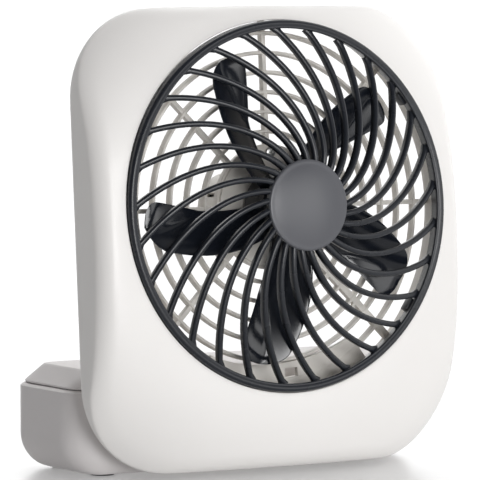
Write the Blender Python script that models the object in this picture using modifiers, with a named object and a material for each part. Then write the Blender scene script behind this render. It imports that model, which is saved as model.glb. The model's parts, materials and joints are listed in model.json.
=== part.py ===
"""Square personal fan that folds down on its battery base.

The frame is +Z up, with the front facing -Y and the feet on Z = 0. Metres.
The head is modelled about the hinge axis and leans back by HEAD_LEAN at rest.
Turned and swept pieces of the head are modelled about the fan axis: their local +Z
points to the front, along -Y of the head.
"""

import math

import bmesh
import bpy
from mathutils import Matrix, Vector

MM = 0.001
GAP = 0.3 * MM
FIT = 0.05 * MM

# Driving dimensions of the base
BASE_HALF_WIDTH = 83 * MM
BASE_FRONT = -9.56 * MM
BASE_BACK = 48.94 * MM
BASE_BOTTOM = 0.6 * MM
BASE_TOP = 42.3 * MM
SEAM_HEIGHT = 34.6 * MM
BASE_CORNER = 16 * MM
BASE_WALL = 2.4 * MM
COVER_SLOPE = 9.5 * MM
BOTTOM_INSET = 13 * MM
BOTTOM_FRONT_INSET = 8 * MM
BOTTOM_RISE = 14 * MM

# Driving dimensions of the hinge
HINGE_Y = -3.16 * MM
HINGE_Z = 34.5 * MM
HINGE_ROUNDING = 6.4 * MM
HEAD_LEAN = math.radians(4.2)
LUG_CENTRE = 45 * MM
LUG_WIDTH = 9 * MM
LUG_RADIUS = 5.4 * MM
PIN_RADIUS = 1.6 * MM
PIN_LENGTH = 21 * MM
SLOT_WIDTH = 12.2 * MM
CHEEK_WIDTH = 2.9 * MM

# Driving dimensions of the head, from the hinge axis
FAN_Y = -35.1 * MM
FAN_Z = 69.8 * MM
HEAD_WIDTH = 170 * MM
HEAD_HEIGHT = 183.5 * MM
HEAD_Z = FAN_Z - 11.8 * MM
HEAD_CORNER = 36 * MM
HEAD_DEPTH = 23.3 * MM
HEAD_WALL = 2.4 * MM
FLAT_RADIUS = 67 * MM
FALL_RADIUS = 56.7 * MM
EDGE_ROUNDING = 4.4 * MM

# Driving dimensions of the front grille
RING_OUTER = 73.8 * MM
RING_INNER = 70.3 * MM
MOUTH_GAP = 0.4 * MM
HUB_RADIUS = 17.6 * MM
HUB_FORWARD = 13.2 * MM
CAP_RADIUS = 18.1 * MM
RIB_COUNT = 29
RIB_WIDTH = 2.3 * MM
RIB_DEPTH = 2.8 * MM
RIB_END_ANGLE = math.radians(91.0)
RIB_SWEEP = math.radians(38.5)

# Driving dimensions of the rear grille and the drive
OPENING_RADIUS = 76 * MM
DUCT_WALL = 1 * MM
DUCT_FRONT = 8.4 * MM
PLATE_BACK = 16.5 * MM
FLANGE_FRONT = 20.8 * MM
PAN_CORNER = 55 * MM
SCREW_U = 68 * MM
SCREW_V = 77.5 * MM
SCREW_SINK = 1.5 * MM
REAR_GRILLE_Y = 14 * MM
REAR_BAR_DEPTH = 3 * MM
REAR_RING_COUNT = 6
REAR_RING_OUTER = 69.4 * MM
REAR_RING_PITCH = 7.85 * MM
SPOKE_COUNT = 8
CUP_RADIUS = 14.8 * MM
CUP_END = 47 * MM
FLANGE_RADIUS = 25 * MM
MOTOR_RADIUS = 12 * MM
BLADE_COUNT = 5
BLADE_TIP = 63.5 * MM
BLADE_ROOT = 12.5 * MM
IMPELLER_HUB = 14.2 * MM
FIRST_BLADE = math.radians(44)

# Driving dimensions of the power parts
CELL_RADIUS = 16.7 * MM
CELL_LENGTH = 61 * MM
CELL_Y = 25.34 * MM
CELL_Z = 21.6 * MM
DOOR_HALF_WIDTH = 58 * MM
DOOR_FRONT = 4.8 * MM
DOOR_HEIGHT = 12 * MM
DOOR_WALL = 1.8 * MM
SWITCH_X = -40 * MM
SWITCH_Z = 25.5 * MM
JACK_Y = 19.8 * MM
JACK_Z = 23.5 * MM
FOOT_X = 64.6 * MM
FOOT_RADIUS = 5 * MM

LOOP_POINTS = 40


# ---------------------------------------------------------------- scene helpers

def clear_scene():
    """Remove every object of the scene."""
    for obj in list(bpy.data.objects):
        bpy.data.objects.remove(obj, do_unlink=True)


def new_collection(name):
    """Add a collection to the scene."""
    coll = bpy.data.collections.new(name)
    bpy.context.scene.collection.children.link(coll)
    return coll


def material(name, colour, roughness, metallic=0.0):
    """Principled material in one colour."""
    mat = bpy.data.materials.new(name)
    mat.use_nodes = True
    shader = mat.node_tree.nodes["Principled BSDF"]
    shader.inputs["Base Color"].default_value = (*colour, 1.0)
    shader.inputs["Roughness"].default_value = roughness
    shader.inputs["Metallic"].default_value = metallic
    return mat


def empty(name, location, rotation=(0, 0, 0), parent=None):
    """Empty that carries a moving group."""
    obj = bpy.data.objects.new(name, None)
    obj.location = location
    obj.rotation_euler = rotation
    obj.parent = parent
    PARTS.objects.link(obj)
    return obj


def finish_mesh(obj, parent, mat, location=(0, 0, 0), rotation=(0, 0, 0)):
    """Place an object in the parts collection and give it its material."""
    for coll in list(obj.users_collection):
        coll.objects.unlink(obj)
    PARTS.objects.link(obj)
    obj.parent = parent
    obj.location = location
    obj.rotation_euler = rotation
    obj.data.materials.clear()
    obj.data.materials.append(mat)
    return obj


def face_out(bm):
    """Turn all faces of a closed bmesh outwards."""
    bmesh.ops.recalc_face_normals(bm, faces=bm.faces)
    if bm.calc_volume(signed=True) < 0:
        bmesh.ops.reverse_faces(bm, faces=bm.faces)


def mesh_object(name, bm):
    """Object from a bmesh, with its faces turned outwards."""
    face_out(bm)
    mesh = bpy.data.meshes.new(name)
    bm.to_mesh(mesh)
    bm.free()
    obj = bpy.data.objects.new(name, mesh)
    CUTTERS.objects.link(obj)
    return obj


def smooth(obj, angle=35):
    """Shade smooth with sharp edges above the angle."""
    obj.data.shade_smooth()
    obj.data.set_sharp_from_angle(angle=math.radians(angle))
    return obj


def box(name, low, high, bevel=0.0):
    """Box between two corners."""
    bm = bmesh.new()
    bmesh.ops.create_cube(bm, size=1.0)
    low = Vector(low)
    high = Vector(high)
    for vert in bm.verts:
        vert.co = (low + high) / 2 + Vector([c * s for c, s in zip(vert.co, high - low)])
    obj = mesh_object(name, bm)
    if bevel:
        add_bevel(obj, bevel)
        obj = baked(obj)
    return obj


def cylinder(name, radius, start, end, sides=24):
    """Cylinder from point start to point end."""
    start = Vector(start)
    end = Vector(end)
    bm = bmesh.new()
    length = (end - start).length
    turn = (end - start).to_track_quat("Z", "Y").to_matrix().to_4x4()
    place = Matrix.Translation((start + end) / 2) @ turn
    bmesh.ops.create_cone(bm, cap_ends=True, segments=sides, radius1=radius,
                          radius2=radius, depth=length, matrix=place)
    return mesh_object(name, bm)


def turned(name, profile, sides=48):
    """Solid of revolution about local Z: a closed (radius, height) profile, top first."""
    closed = abs(profile[0][0]) > 1e-9
    bm = bmesh.new()
    verts = [bm.verts.new((r, 0, z)) for r, z in profile]
    for a, b in zip(verts, verts[1:]):
        bm.edges.new((a, b))
    if closed:
        bm.edges.new((verts[-1], verts[0]))
    mesh = bpy.data.meshes.new(name)
    bm.to_mesh(mesh)
    bm.free()
    obj = bpy.data.objects.new(name, mesh)
    CUTTERS.objects.link(obj)
    screw = obj.modifiers.new("Turn", "SCREW")
    screw.steps = sides
    screw.render_steps = sides
    screw.use_merge_vertices = True
    screw.merge_threshold = 0.00001
    obj = baked(obj)
    bm = bmesh.new()
    bm.from_mesh(obj.data)
    face_out(bm)
    bm.to_mesh(obj.data)
    bm.free()
    return obj


def baked(obj):
    """Replace an object by its evaluated mesh."""
    bpy.context.view_layer.update()
    graph = bpy.context.evaluated_depsgraph_get()
    mesh = bpy.data.meshes.new_from_object(obj.evaluated_get(graph))
    bm = bmesh.new()
    bm.from_mesh(mesh)
    bmesh.ops.remove_doubles(bm, verts=bm.verts, dist=1e-7)
    bm.to_mesh(mesh)
    bm.free()
    result = bpy.data.objects.new(obj.name, mesh)
    result.matrix_world = obj.matrix_world
    CUTTERS.objects.link(result)
    name = obj.name
    bpy.data.objects.remove(obj, do_unlink=True)
    result.name = name
    return result


def add_bevel(obj, width, segments=2):
    """Round an object's edges."""
    mod = obj.modifiers.new("Bevel", "BEVEL")
    mod.width = width
    mod.segments = segments
    mod.limit_method = "ANGLE"


def combine(obj, others, operation):
    """Union or cut an object with others, which are used up."""
    for other in others:
        mod = obj.modifiers.new(operation.title(), "BOOLEAN")
        mod.operation = operation
        mod.solver = "EXACT"
        mod.object = other
    result = baked(obj)
    for other in others:
        bpy.data.objects.remove(other, do_unlink=True)
    return result


def union(obj, *others):
    """Join solids into one."""
    return combine(obj, others, "UNION")


def cut(obj, *others):
    """Cut solids out of one."""
    return combine(obj, others, "DIFFERENCE")


def loft(name, loops, closed=True):
    """Skin through loops with equal point counts; a closed loft joins last to first."""
    bm = bmesh.new()
    rows = [[bm.verts.new(p) for p in loop] for loop in loops]
    pairs = list(zip(rows, rows[1:]))
    if closed:
        pairs.append((rows[-1], rows[0]))
    else:
        bm.faces.new(rows[0])
        bm.faces.new(rows[-1])
    for low, high in pairs:
        for i in range(len(low)):
            j = (i + 1) % len(low)
            bm.faces.new((low[i], low[j], high[j], high[i]))
    bmesh.ops.triangulate(bm, faces=bm.faces)
    return mesh_object(name, bm)


def rod(name, points, radius, parent, mat):
    """Round wire through points, as a closed tube."""
    curve = bpy.data.curves.new(name, "CURVE")
    curve.dimensions = "3D"
    curve.bevel_depth = radius
    curve.bevel_resolution = 2
    curve.use_fill_caps = True
    spline = curve.splines.new("POLY")
    spline.points.add(len(points) - 1)
    for point, co in zip(spline.points, points):
        point.co = (*co, 1.0)
    obj = bpy.data.objects.new(name, curve)
    CUTTERS.objects.link(obj)
    return finish_mesh(smooth(baked(obj)), parent, mat)


# ---------------------------------------------------------------- outlines

def round_rect(half_x, low, high, corner, count=LOOP_POINTS):
    """Points of a rounded rectangle, spread by angle round its middle: (u, v)."""
    mid = (low + high) / 2
    half_v = (high - low) / 2
    points = []
    for i in range(count):
        angle = 2 * math.pi * i / count
        points.append(rect_ray(half_x, half_v, corner, angle, mid))
    return points


def rect_ray(half_u, half_v, corner, angle, mid):
    """Where a ray from the middle of a rounded rectangle leaves it."""
    du = math.cos(angle)
    dv = math.sin(angle)
    reach = min(half_u / max(abs(du), 1e-9), half_v / max(abs(dv), 1e-9))
    u = abs(du) * reach
    v = abs(dv) * reach
    cu = half_u - corner
    cv = half_v - corner
    if u > cu and v > cv:
        along = abs(du) * cu + abs(dv) * cv
        off = cu * cu + cv * cv - corner * corner
        reach = along + math.sqrt(max(along * along - off, 0.0))
    return (du * reach, mid + dv * reach)


def front_fall(u, v):
    """How far the front face falls back at a point, from the middle of the head."""
    away = max(math.hypot(u, v) - FLAT_RADIUS, 0.0)
    away = min(away, FALL_RADIUS * 0.95)
    return FALL_RADIUS - math.sqrt(FALL_RADIUS ** 2 - away ** 2)


def head_loop(inset, depth, falls=0.0):
    """Loop of the head outline, moved in by inset, at a depth behind the face."""
    points = []
    outline = round_rect(HEAD_WIDTH / 2 - inset, -HEAD_HEIGHT / 2 + inset,
                         HEAD_HEIGHT / 2 - inset, max(HEAD_CORNER - inset, 2 * MM))
    for u, v in outline:
        fall = falls * front_fall(u, v)
        y = FAN_Y + fall + depth * (1 - fall / (HEAD_DEPTH + MM))
        points.append((u, y, HEAD_Z + v))
    return points


def opening_loop(radius, depth):
    """Circle round the fan axis with as many points as head_loop."""
    points = []
    for i in range(LOOP_POINTS):
        angle = 2 * math.pi * i / LOOP_POINTS
        points.append((radius * math.cos(angle), FAN_Y + depth, FAN_Z + radius * math.sin(angle)))
    return points


def fan_point(radius, angle, forward):
    """Point about the fan axis in the head's frame."""
    return (radius * math.cos(angle), FAN_Y - forward, FAN_Z + radius * math.sin(angle))


# ---------------------------------------------------------------- head

def make_front_housing(head, mats):
    """White square shell: domed front wall with the round opening, and side walls."""
    rounding = []
    for i in range(4):
        turn = math.pi / 2 * i / 3
        rounding.append(head_loop(EDGE_ROUNDING * (1 - math.sin(turn)),
                                  EDGE_ROUNDING * (1 - math.cos(turn)), 1.0))
    side = head_loop(0, HEAD_DEPTH - 0.6 * MM)
    rim = head_loop(0.6 * MM, HEAD_DEPTH)
    inner_side = head_loop(HEAD_WALL, HEAD_DEPTH)
    inner_front = head_loop(EDGE_ROUNDING, HEAD_WALL, 1.0)
    inner_edge = head_loop(HEAD_WALL + 0.2 * MM, EDGE_ROUNDING, 1.0)
    mouth = opening_loop(RING_OUTER + MOUTH_GAP, 0)
    mouth_inner = opening_loop(RING_OUTER + MOUTH_GAP, HEAD_WALL)
    shell = loft("front_housing", [mouth, *rounding, side, rim, inner_side, inner_edge,
                                   inner_front, mouth_inner])
    bosses = []
    bores = []
    for x, z in housing_screw_places():
        tip = FAN_Y + FLANGE_FRONT - GAP
        bosses.append(cylinder("boss", 3.2 * MM, (x, tip - 4.2 * MM, z), (x, tip, z), 12))
        bores.append(cylinder("bore", 1.3 * MM, (x, tip - 3.8 * MM, z), (x, tip + MM, z), 12))
    shell = cut(union(shell, *bosses), *bores)
    return finish_mesh(smooth(shell), head, mats["white"])


def rib_forward(radius):
    """Height of the dome of ribs in front of the ring plane."""
    span = (radius - HUB_RADIUS) / (RING_INNER - HUB_RADIUS)
    return HUB_FORWARD * (1 - span ** 1.35) - 0.6 * MM


def make_ribs():
    """All the swept ribs of the front grille, as one cutter-side mesh about local Z."""
    bm = bmesh.new()
    steps = 5
    for k in range(RIB_COUNT):
        rows = []
        for i in range(steps):
            share = i / (steps - 1)
            radius = HUB_RADIUS - 2.5 * MM + (RING_INNER + 2 * MM - HUB_RADIUS) * share
            turn = RIB_END_ANGLE - RIB_SWEEP * (1 - share) + k * 2 * math.pi / RIB_COUNT
            height = rib_forward(max(radius, HUB_RADIUS))
            out = Vector((math.cos(turn), math.sin(turn), 0))
            lean = RIB_SWEEP * radius / (RING_INNER - HUB_RADIUS)
            side = Vector((-math.sin(turn), math.cos(turn), 0)) - out * lean
            side.normalize()
            centre = out * radius
            section = [(-0.5, -0.5), (0.5, -0.5), (0.5, 0.2), (0.0, 0.5), (-0.5, 0.2)]
            row = []
            for across, up in section:
                row.append(bm.verts.new(centre + side * across * RIB_WIDTH
                                        + Vector((0, 0, height + up * RIB_DEPTH))))
            rows.append(row)
        bm.faces.new(rows[0])
        bm.faces.new(rows[-1])
        for low, high in zip(rows, rows[1:]):
            for i in range(5):
                j = (i + 1) % 5
                bm.faces.new((low[i], low[j], high[j], high[i]))
    return mesh_object("ribs", bm)


def make_front_grille(head, mats):
    """Dark ring, ribs and hub disc in one moulding, about the fan axis."""
    ring = turned("front_grille", [
        (RING_INNER, 0.2 * MM), (RING_INNER + 1.6 * MM, 1.8 * MM), (RING_OUTER, 0.6 * MM),
        (RING_OUTER, -2.6 * MM), (RING_OUTER - 0.8 * MM, -5 * MM),
        (RING_INNER + 1.2 * MM, -5 * MM)], 48)
    disc = turned("disc", [
        (0, HUB_FORWARD + 0.8 * MM), (HUB_RADIUS, HUB_FORWARD + 0.8 * MM),
        (HUB_RADIUS, HUB_FORWARD - 2.4 * MM), (0, HUB_FORWARD - 2.4 * MM)], 29)
    grille = union(ring, make_ribs(), disc)
    return finish_mesh(smooth(grille), head, mats["charcoal"], (0, FAN_Y, FAN_Z),
                       (math.pi / 2, 0, 0))


def make_grille_cap(head, mats):
    """Plain domed cap on the hub disc."""
    base = HUB_FORWARD + 0.8 * MM + GAP
    cap = turned("grille_cap", [
        (0, base + 2.6 * MM), (10 * MM, base + 2.1 * MM), (16.6 * MM, base + 1.2 * MM),
        (CAP_RADIUS, base + 0.5 * MM), (CAP_RADIUS, base), (0, base)], 32)
    return finish_mesh(smooth(cap), head, mats["cap"], (0, FAN_Y, FAN_Z), (math.pi / 2, 0, 0))


def pan_loop(inset, depth):
    """Loop of the recess in the back of the head, moved in by inset."""
    half_u = HEAD_WIDTH / 2 - 2.8 * MM - inset
    half_v = HEAD_HEIGHT / 2 - 2.7 * MM - inset
    outline = round_rect(half_u, -half_v, half_v, PAN_CORNER - inset)
    return [(u, FAN_Y + depth, HEAD_Z + v) for u, v in outline]


def make_rear_shell():
    """Duct wall, recessed plate, and the flange that closes the back of the head."""
    return loft("rear_housing", [
        opening_loop(OPENING_RADIUS, DUCT_FRONT),
        opening_loop(OPENING_RADIUS + DUCT_WALL, DUCT_FRONT),
        opening_loop(OPENING_RADIUS + DUCT_WALL, REAR_GRILLE_Y),
        pan_loop(0, REAR_GRILLE_Y),
        pan_loop(0, FLANGE_FRONT),
        head_loop(HEAD_WALL + 0.1 * MM, FLANGE_FRONT),
        head_loop(HEAD_WALL + 0.1 * MM, HEAD_DEPTH),
        pan_loop(MM, HEAD_DEPTH),
        pan_loop(MM, PLATE_BACK),
        opening_loop(OPENING_RADIUS, PLATE_BACK),
    ])


def rear_spoke(angle, width):
    """One bar of the rear grille from the motor flange to the duct wall."""
    bar = box("spoke", (FLANGE_RADIUS - 2 * MM, -width / 2,
                        -REAR_GRILLE_Y - REAR_BAR_DEPTH - 0.4 * MM),
              (OPENING_RADIUS + 1 * MM, width / 2, -REAR_GRILLE_Y - 0.4 * MM))
    bar.data.transform(Matrix.Rotation(angle, 4, "Z"))
    return bar


def wire_channel(angle):
    """Spoke like a trough, open at the back, that the motor leads lie in."""
    front = -REAR_GRILLE_Y
    inner, outer = FLANGE_RADIUS - 2 * MM, OPENING_RADIUS + 1 * MM
    walls = [box("channel", (inner, -2.4 * MM, front - 1.2 * MM),
                 (outer, 2.4 * MM, front - 0.2 * MM))]
    for side in (-1, 1):
        low = side * 2 * MM - 0.4 * MM
        walls.append(box("channel", (inner, low, front - 5.6 * MM),
                         (outer, low + 0.8 * MM, front - 0.6 * MM)))
    for wall in walls:
        wall.data.transform(Matrix.Rotation(angle, 4, "Z"))
    return walls


def motor_flange():
    """Flat ring that the motor cup and the spokes stand on."""
    front = -REAR_GRILLE_Y
    hole = CUP_RADIUS + FIT
    return turned("flange", [
        (FLANGE_RADIUS, front), (FLANGE_RADIUS, front - REAR_BAR_DEPTH),
        (hole, front - REAR_BAR_DEPTH), (hole, front)], 22)


def make_motor_cup(head, mats):
    """Closed cup with vent slits that the motor sits in, about the fan axis."""
    front = -REAR_GRILLE_Y
    inner = CUP_RADIUS - 2 * MM
    cup = turned("motor_cup", [
        (CUP_RADIUS, front), (CUP_RADIUS, 2 * MM - CUP_END),
        (CUP_RADIUS - 2 * MM, -CUP_END), (3 * MM, -CUP_END), (3 * MM, 2 * MM - CUP_END),
        (inner, 2 * MM - CUP_END), (inner, front)], 22)
    slits = []
    for i in range(SPOKE_COUNT):
        slit = box("slit", (CUP_RADIUS - 4 * MM, -0.9 * MM, 5 * MM - CUP_END),
                   (CUP_RADIUS + MM, 0.9 * MM, front - 8 * MM))
        slit.data.transform(Matrix.Rotation((i + 0.5) * 2 * math.pi / SPOKE_COUNT, 4, "Z"))
        slits.append(slit)
    finish_mesh(smooth(cut(cup, *slits)), head, mats["warm_light"], (0, FAN_Y, FAN_Z),
                (math.pi / 2, 0, 0))


def hinge_lug(side, wall_y):
    """Arm with a round eye round the hinge axis, rooted in the back wall."""
    outline = [(wall_y - 1.5 * MM, -4.6 * MM)]
    for i in range(17):
        turn = math.radians(-112 + 224 * i / 16)
        outline.append((LUG_RADIUS * math.cos(turn), LUG_RADIUS * math.sin(turn)))
    outline.append((wall_y - 1.5 * MM, 4.6 * MM))
    low = side * LUG_CENTRE - LUG_WIDTH / 2
    return loft("lug", [[(x, y, z) for y, z in outline] for x in (low, low + LUG_WIDTH)],
                closed=False)


def make_rear_grille(head, mats):
    """Rings, spokes, wire channel, motor flange and slotted web behind the impeller."""
    to_head = Matrix.Translation((0, FAN_Y, FAN_Z)) @ Matrix.Rotation(math.pi / 2, 4, "X")
    front = -REAR_GRILLE_Y
    bars = [motor_flange()]
    for i in range(REAR_RING_COUNT):
        radius = REAR_RING_OUTER - i * REAR_RING_PITCH
        bars.append(turned("ring", [
            (radius - 1 * MM, front), (radius + 1 * MM, front),
            (radius + 1 * MM, front - REAR_BAR_DEPTH),
            (radius - 1 * MM, front - REAR_BAR_DEPTH)], 24))
    for i in range(SPOKE_COUNT - 1):
        bars.append(rear_spoke(i * 2 * math.pi / SPOKE_COUNT, 2.2 * MM))
    bars += wire_channel(-2 * math.pi / SPOKE_COUNT)
    bars.append(box("web", (-36 * MM, -78 * MM, front - 2.2 * MM),
                    (44 * MM, -62 * MM, front - 0.2 * MM)))
    for bar in bars:
        bar.data.transform(to_head)
    grille = union(bars[0], *bars[1:])
    grille.name = "rear_grille"
    duct = loft("duct", [opening_loop(OPENING_RADIUS - FIT, REAR_GRILLE_Y - 2 * MM),
                         opening_loop(OPENING_RADIUS - FIT, HEAD_DEPTH)], closed=False)
    grille = combine(grille, [duct], "INTERSECT")
    cuts = []
    for side in (-1, 1):
        z = FAN_Z + side * 21.7 * MM
        y = FAN_Y + REAR_GRILLE_Y
        cuts.append(cylinder("hole", 1.55 * MM, (0, y - MM, z), (0, y + 5 * MM, z), 11))
    slot = box("slot", (4 * MM, -68 * MM, front - 4 * MM), (10 * MM, -64 * MM, MM + front))
    slot.data.transform(to_head)
    return finish_mesh(smooth(cut(grille, *cuts, slot)), head, mats["warm_light"])


def make_rear_housing(head, mats):
    """Light grey back shell with the round duct and the hinge lugs."""
    wall_y = FAN_Y + HEAD_DEPTH
    root_y = FAN_Y + PLATE_BACK
    shell = union(make_rear_shell(), hinge_lug(-1, root_y), hinge_lug(1, root_y))
    cuts = []
    for side in (-1, 1):
        middle = side * LUG_CENTRE
        cuts.append(cylinder("bore", PIN_RADIUS + 0.1 * MM, (middle - LUG_WIDTH, 0, 0),
                             (middle + LUG_WIDTH, 0, 0), 24))
    for u, v in housing_screw_places():
        cuts.append(cylinder("hole", 1.5 * MM, (u, wall_y - 4 * MM, v), (u, wall_y + MM, v), 12))
        cuts.append(cylinder("sink", 3 * MM, (u, wall_y - SCREW_SINK, v),
                             (u, wall_y + MM, v), 14))
    return finish_mesh(smooth(cut(shell, *cuts)), head, mats["warm_light"])


def housing_screw_places():
    """(x, z) of the four screws that close the head."""
    top = HEAD_Z + SCREW_V
    low = HEAD_Z - SCREW_V
    return [(-SCREW_U, top), (SCREW_U, top), (-SCREW_U, low), (SCREW_U, low)]


def screw(name, radius, head_depth, shank, length):
    """Screw along local Z, head up, with the head's underside at Z = 0."""
    return turned(name, [
        (0, head_depth), (radius * 0.8, head_depth), (radius, head_depth * 0.4), (radius, 0),
        (shank, 0), (shank, -length), (0, -length)], 12)


def make_head_screws(head, mats):
    """Four screws in the back of the head and two that hold the motor plate."""
    for i, (x, z) in enumerate(housing_screw_places(), start=1):
        solid = screw(f"housing_screw_{i}", 2.6 * MM, 1.1 * MM, 1.1 * MM, 4.8 * MM)
        y = FAN_Y + HEAD_DEPTH - SCREW_SINK + GAP
        finish_mesh(smooth(solid), head, mats["steel"], (x, y, z), (-math.pi / 2, 0, 0))
    for name, side in (("motor_screw_top", 1), ("motor_screw_low", -1)):
        solid = screw(name, 2.2 * MM, 1.1 * MM, 1.1 * MM, 5 * MM)
        y = FAN_Y + REAR_GRILLE_Y - 0.8 * MM - 2 * GAP
        finish_mesh(smooth(solid), head, mats["steel"], (0, y, FAN_Z + side * 21.7 * MM),
                    (math.pi / 2, 0, 0))


def make_motor(head, mats):
    """Motor plate, can, end cap and bushing, about the fan axis."""
    place = (0, FAN_Y, FAN_Z)
    facing = (math.pi / 2, 0, 0)
    front = -REAR_GRILLE_Y
    plate = turned("motor_plate", [
        (24 * MM, front + 0.8 * MM + GAP), (24 * MM, front + GAP), (3.6 * MM, front + GAP),
        (3.6 * MM, front + 0.8 * MM + GAP)], 32)
    holes = []
    for side in (-1, 1):
        y = side * 21.7 * MM
        holes.append(cylinder("hole", 1.4 * MM, (0, y, front - MM), (0, y, front + 3 * MM), 11))
    finish_mesh(smooth(cut(plate, *holes)), head, mats["warm_light"], place, facing)
    can_front = front - GAP
    can_back = 6 * MM - CUP_END
    can = turned("motor_can", [
        (3.4 * MM, can_front), (MOTOR_RADIUS, can_front), (MOTOR_RADIUS, can_back),
        (MOTOR_RADIUS - 0.8 * MM, can_back), (MOTOR_RADIUS - 0.8 * MM, can_front - 0.8 * MM),
        (3.4 * MM, can_front - 0.8 * MM)], 28)
    finish_mesh(smooth(can), head, mats["steel"], place, facing)
    end = turned("motor_end_cap", [
        (0, can_back + 2 * MM), (MOTOR_RADIUS - 0.8 * MM - GAP, can_back + 2 * MM),
        (MOTOR_RADIUS - 0.8 * MM - GAP, can_back - GAP), (MOTOR_RADIUS, can_back - GAP),
        (MOTOR_RADIUS, can_back - 1.6 * MM), (0, can_back - 1.6 * MM)], 28)
    finish_mesh(smooth(end), head, mats["black"], place, facing)
    bush = turned("motor_bushing", [
        (1.15 * MM, front + 2.4 * MM), (3.1 * MM, front + 2.4 * MM),
        (3.1 * MM, can_front - 1.6 * MM), (1.15 * MM, can_front - 1.6 * MM)], 20)
    finish_mesh(smooth(bush), head, mats["brass"], place, facing)


def make_motor_leads(head, mats):
    """Two leads in the channel of the double-walled spoke."""
    angle = -math.pi / 4
    forward = -REAR_GRILLE_Y - REAR_BAR_DEPTH - 1.4 * MM
    for name, side, mat in (("motor_lead_red", 1, "red"), ("motor_lead_black", -1, "black")):
        offset = side * 0.78 * MM
        points = []
        for radius in (16, 27, 38, 50, 60, 67):
            co = Vector(fan_point(radius * MM, angle, forward))
            co += Vector((-math.sin(angle), 0, math.cos(angle))) * offset
            points.append(co)
        rod(name, points, 0.65 * MM, head, mats[mat])


# ---------------------------------------------------------------- impeller

def blade_section(radius):
    """Ring of points round one blade at a radius, about local Z with +Z to the front."""
    share = (radius - BLADE_ROOT) / (BLADE_TIP - BLADE_ROOT)
    chord = (12 + 9 * math.sin(math.pi * (share * 0.5 + 0.12))) * MM
    if share > 0.9:
        chord *= 1 - 2.2 * (share - 0.9)
    pitch = math.radians(40 - 14 * share - 11 * share ** 3)
    middle = math.radians(16 * (1 - share) ** 1.4 - 2.2 * share ** 2)
    height = (-2.5 - 3.1 * share) * MM
    thick = (2.4 - 1.3 * share) * MM
    count = 5
    upper = []
    lower = []
    for i in range(count):
        along = i / (count - 1) - 0.5
        arc = along * chord * math.cos(pitch)
        angle = middle + arc / radius
        camber = (0.25 - along * along) * 2.2 * MM
        z = height + along * chord * math.sin(pitch) - camber
        half = thick * (0.5 - 1.3 * along * along)
        upper.append((radius * math.cos(angle), radius * math.sin(angle), z + half))
        lower.append((radius * math.cos(angle), radius * math.sin(angle), z - half))
    return upper + lower[::-1]


def make_impeller(rotor, mats):
    """Hub with five pitched blades."""
    hub = turned("fan_impeller", [
        (0, 7.2 * MM), (9 * MM, 6.4 * MM), (IMPELLER_HUB, 2 * MM),
        (IMPELLER_HUB, -10.6 * MM), (IMPELLER_HUB - 2 * MM, -10.6 * MM),
        (IMPELLER_HUB - 2 * MM, 0), (4 * MM, 2.4 * MM), (4 * MM, -9.4 * MM),
        (1.3 * MM, -9.4 * MM), (1.3 * MM, 4 * MM), (0, 4 * MM)], 25)
    blades = []
    radii = [BLADE_ROOT + (BLADE_TIP - BLADE_ROOT) * s
             for s in (0, 0.2, 0.45, 0.7, 0.9, 1)]
    for k in range(BLADE_COUNT):
        blade = loft("blade", [blade_section(r) for r in radii], closed=False)
        turn = FIRST_BLADE + k * 2 * math.pi / BLADE_COUNT
        blade.data.transform(Matrix.Rotation(turn, 4, "Z"))
        blades.append(blade)
    wheel = union(hub, *blades)
    finish_mesh(smooth(wheel), rotor, mats["blade"])


def make_rotor(rotor, mats):
    """Shaft and armature, which turn with the impeller."""
    back = 9 * MM - CUP_END
    shaft = turned("motor_shaft", [
        (0, 3.6 * MM), (1.0 * MM, 3.6 * MM), (1.0 * MM, back), (0, back)], 16)
    finish_mesh(smooth(shaft), rotor, mats["steel"])
    top = -REAR_GRILLE_Y - 4 * MM
    armature = turned("motor_rotor", [
        (1.2 * MM, top), (8.6 * MM, top - MM), (8.6 * MM, back + 3 * MM), (1.2 * MM, back + 2 * MM)], 16)
    finish_mesh(smooth(armature), rotor, mats["copper"])


# ---------------------------------------------------------------- base

def base_loop(inset, z, front_inset=None):
    """Loop of the base outline, moved in by inset, at a height."""
    low = BASE_FRONT + (inset if front_inset is None else front_inset)
    high = BASE_BACK - inset
    corner = max(BASE_CORNER - inset, 3 * MM)
    count = LOOP_POINTS
    outline = round_rect(BASE_HALF_WIDTH - inset, low, high, min(corner, (high - low) / 2.2), count)
    return [(u, v, z) for u, v in outline]


def bottom_loop(turn, wall):
    """Loop of the oval rounding under the base, from the floor at 0 to the wall at 90 degrees."""
    share = 1 - math.sin(turn)
    return base_loop(wall + (BOTTOM_INSET - wall) * share,
                     BASE_BOTTOM + wall + (BOTTOM_RISE - wall) * (1 - math.cos(turn)),
                     wall + (BOTTOM_FRONT_INSET - wall) * share)


def hinge_slots(extra):
    """Cutters for the two slots that the lugs move in."""
    cutters = []
    for side in (-1, 1):
        middle = side * LUG_CENTRE
        low = middle - SLOT_WIDTH / 2
        high = middle + SLOT_WIDTH / 2
        reach = LUG_RADIUS + 0.7 * MM
        cutters.append(box("slot", (low, BASE_FRONT - 2 * MM, HINGE_Z - reach),
                           (high, HINGE_Y + reach + extra, BASE_TOP + 2 * MM)))
    return cutters


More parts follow.
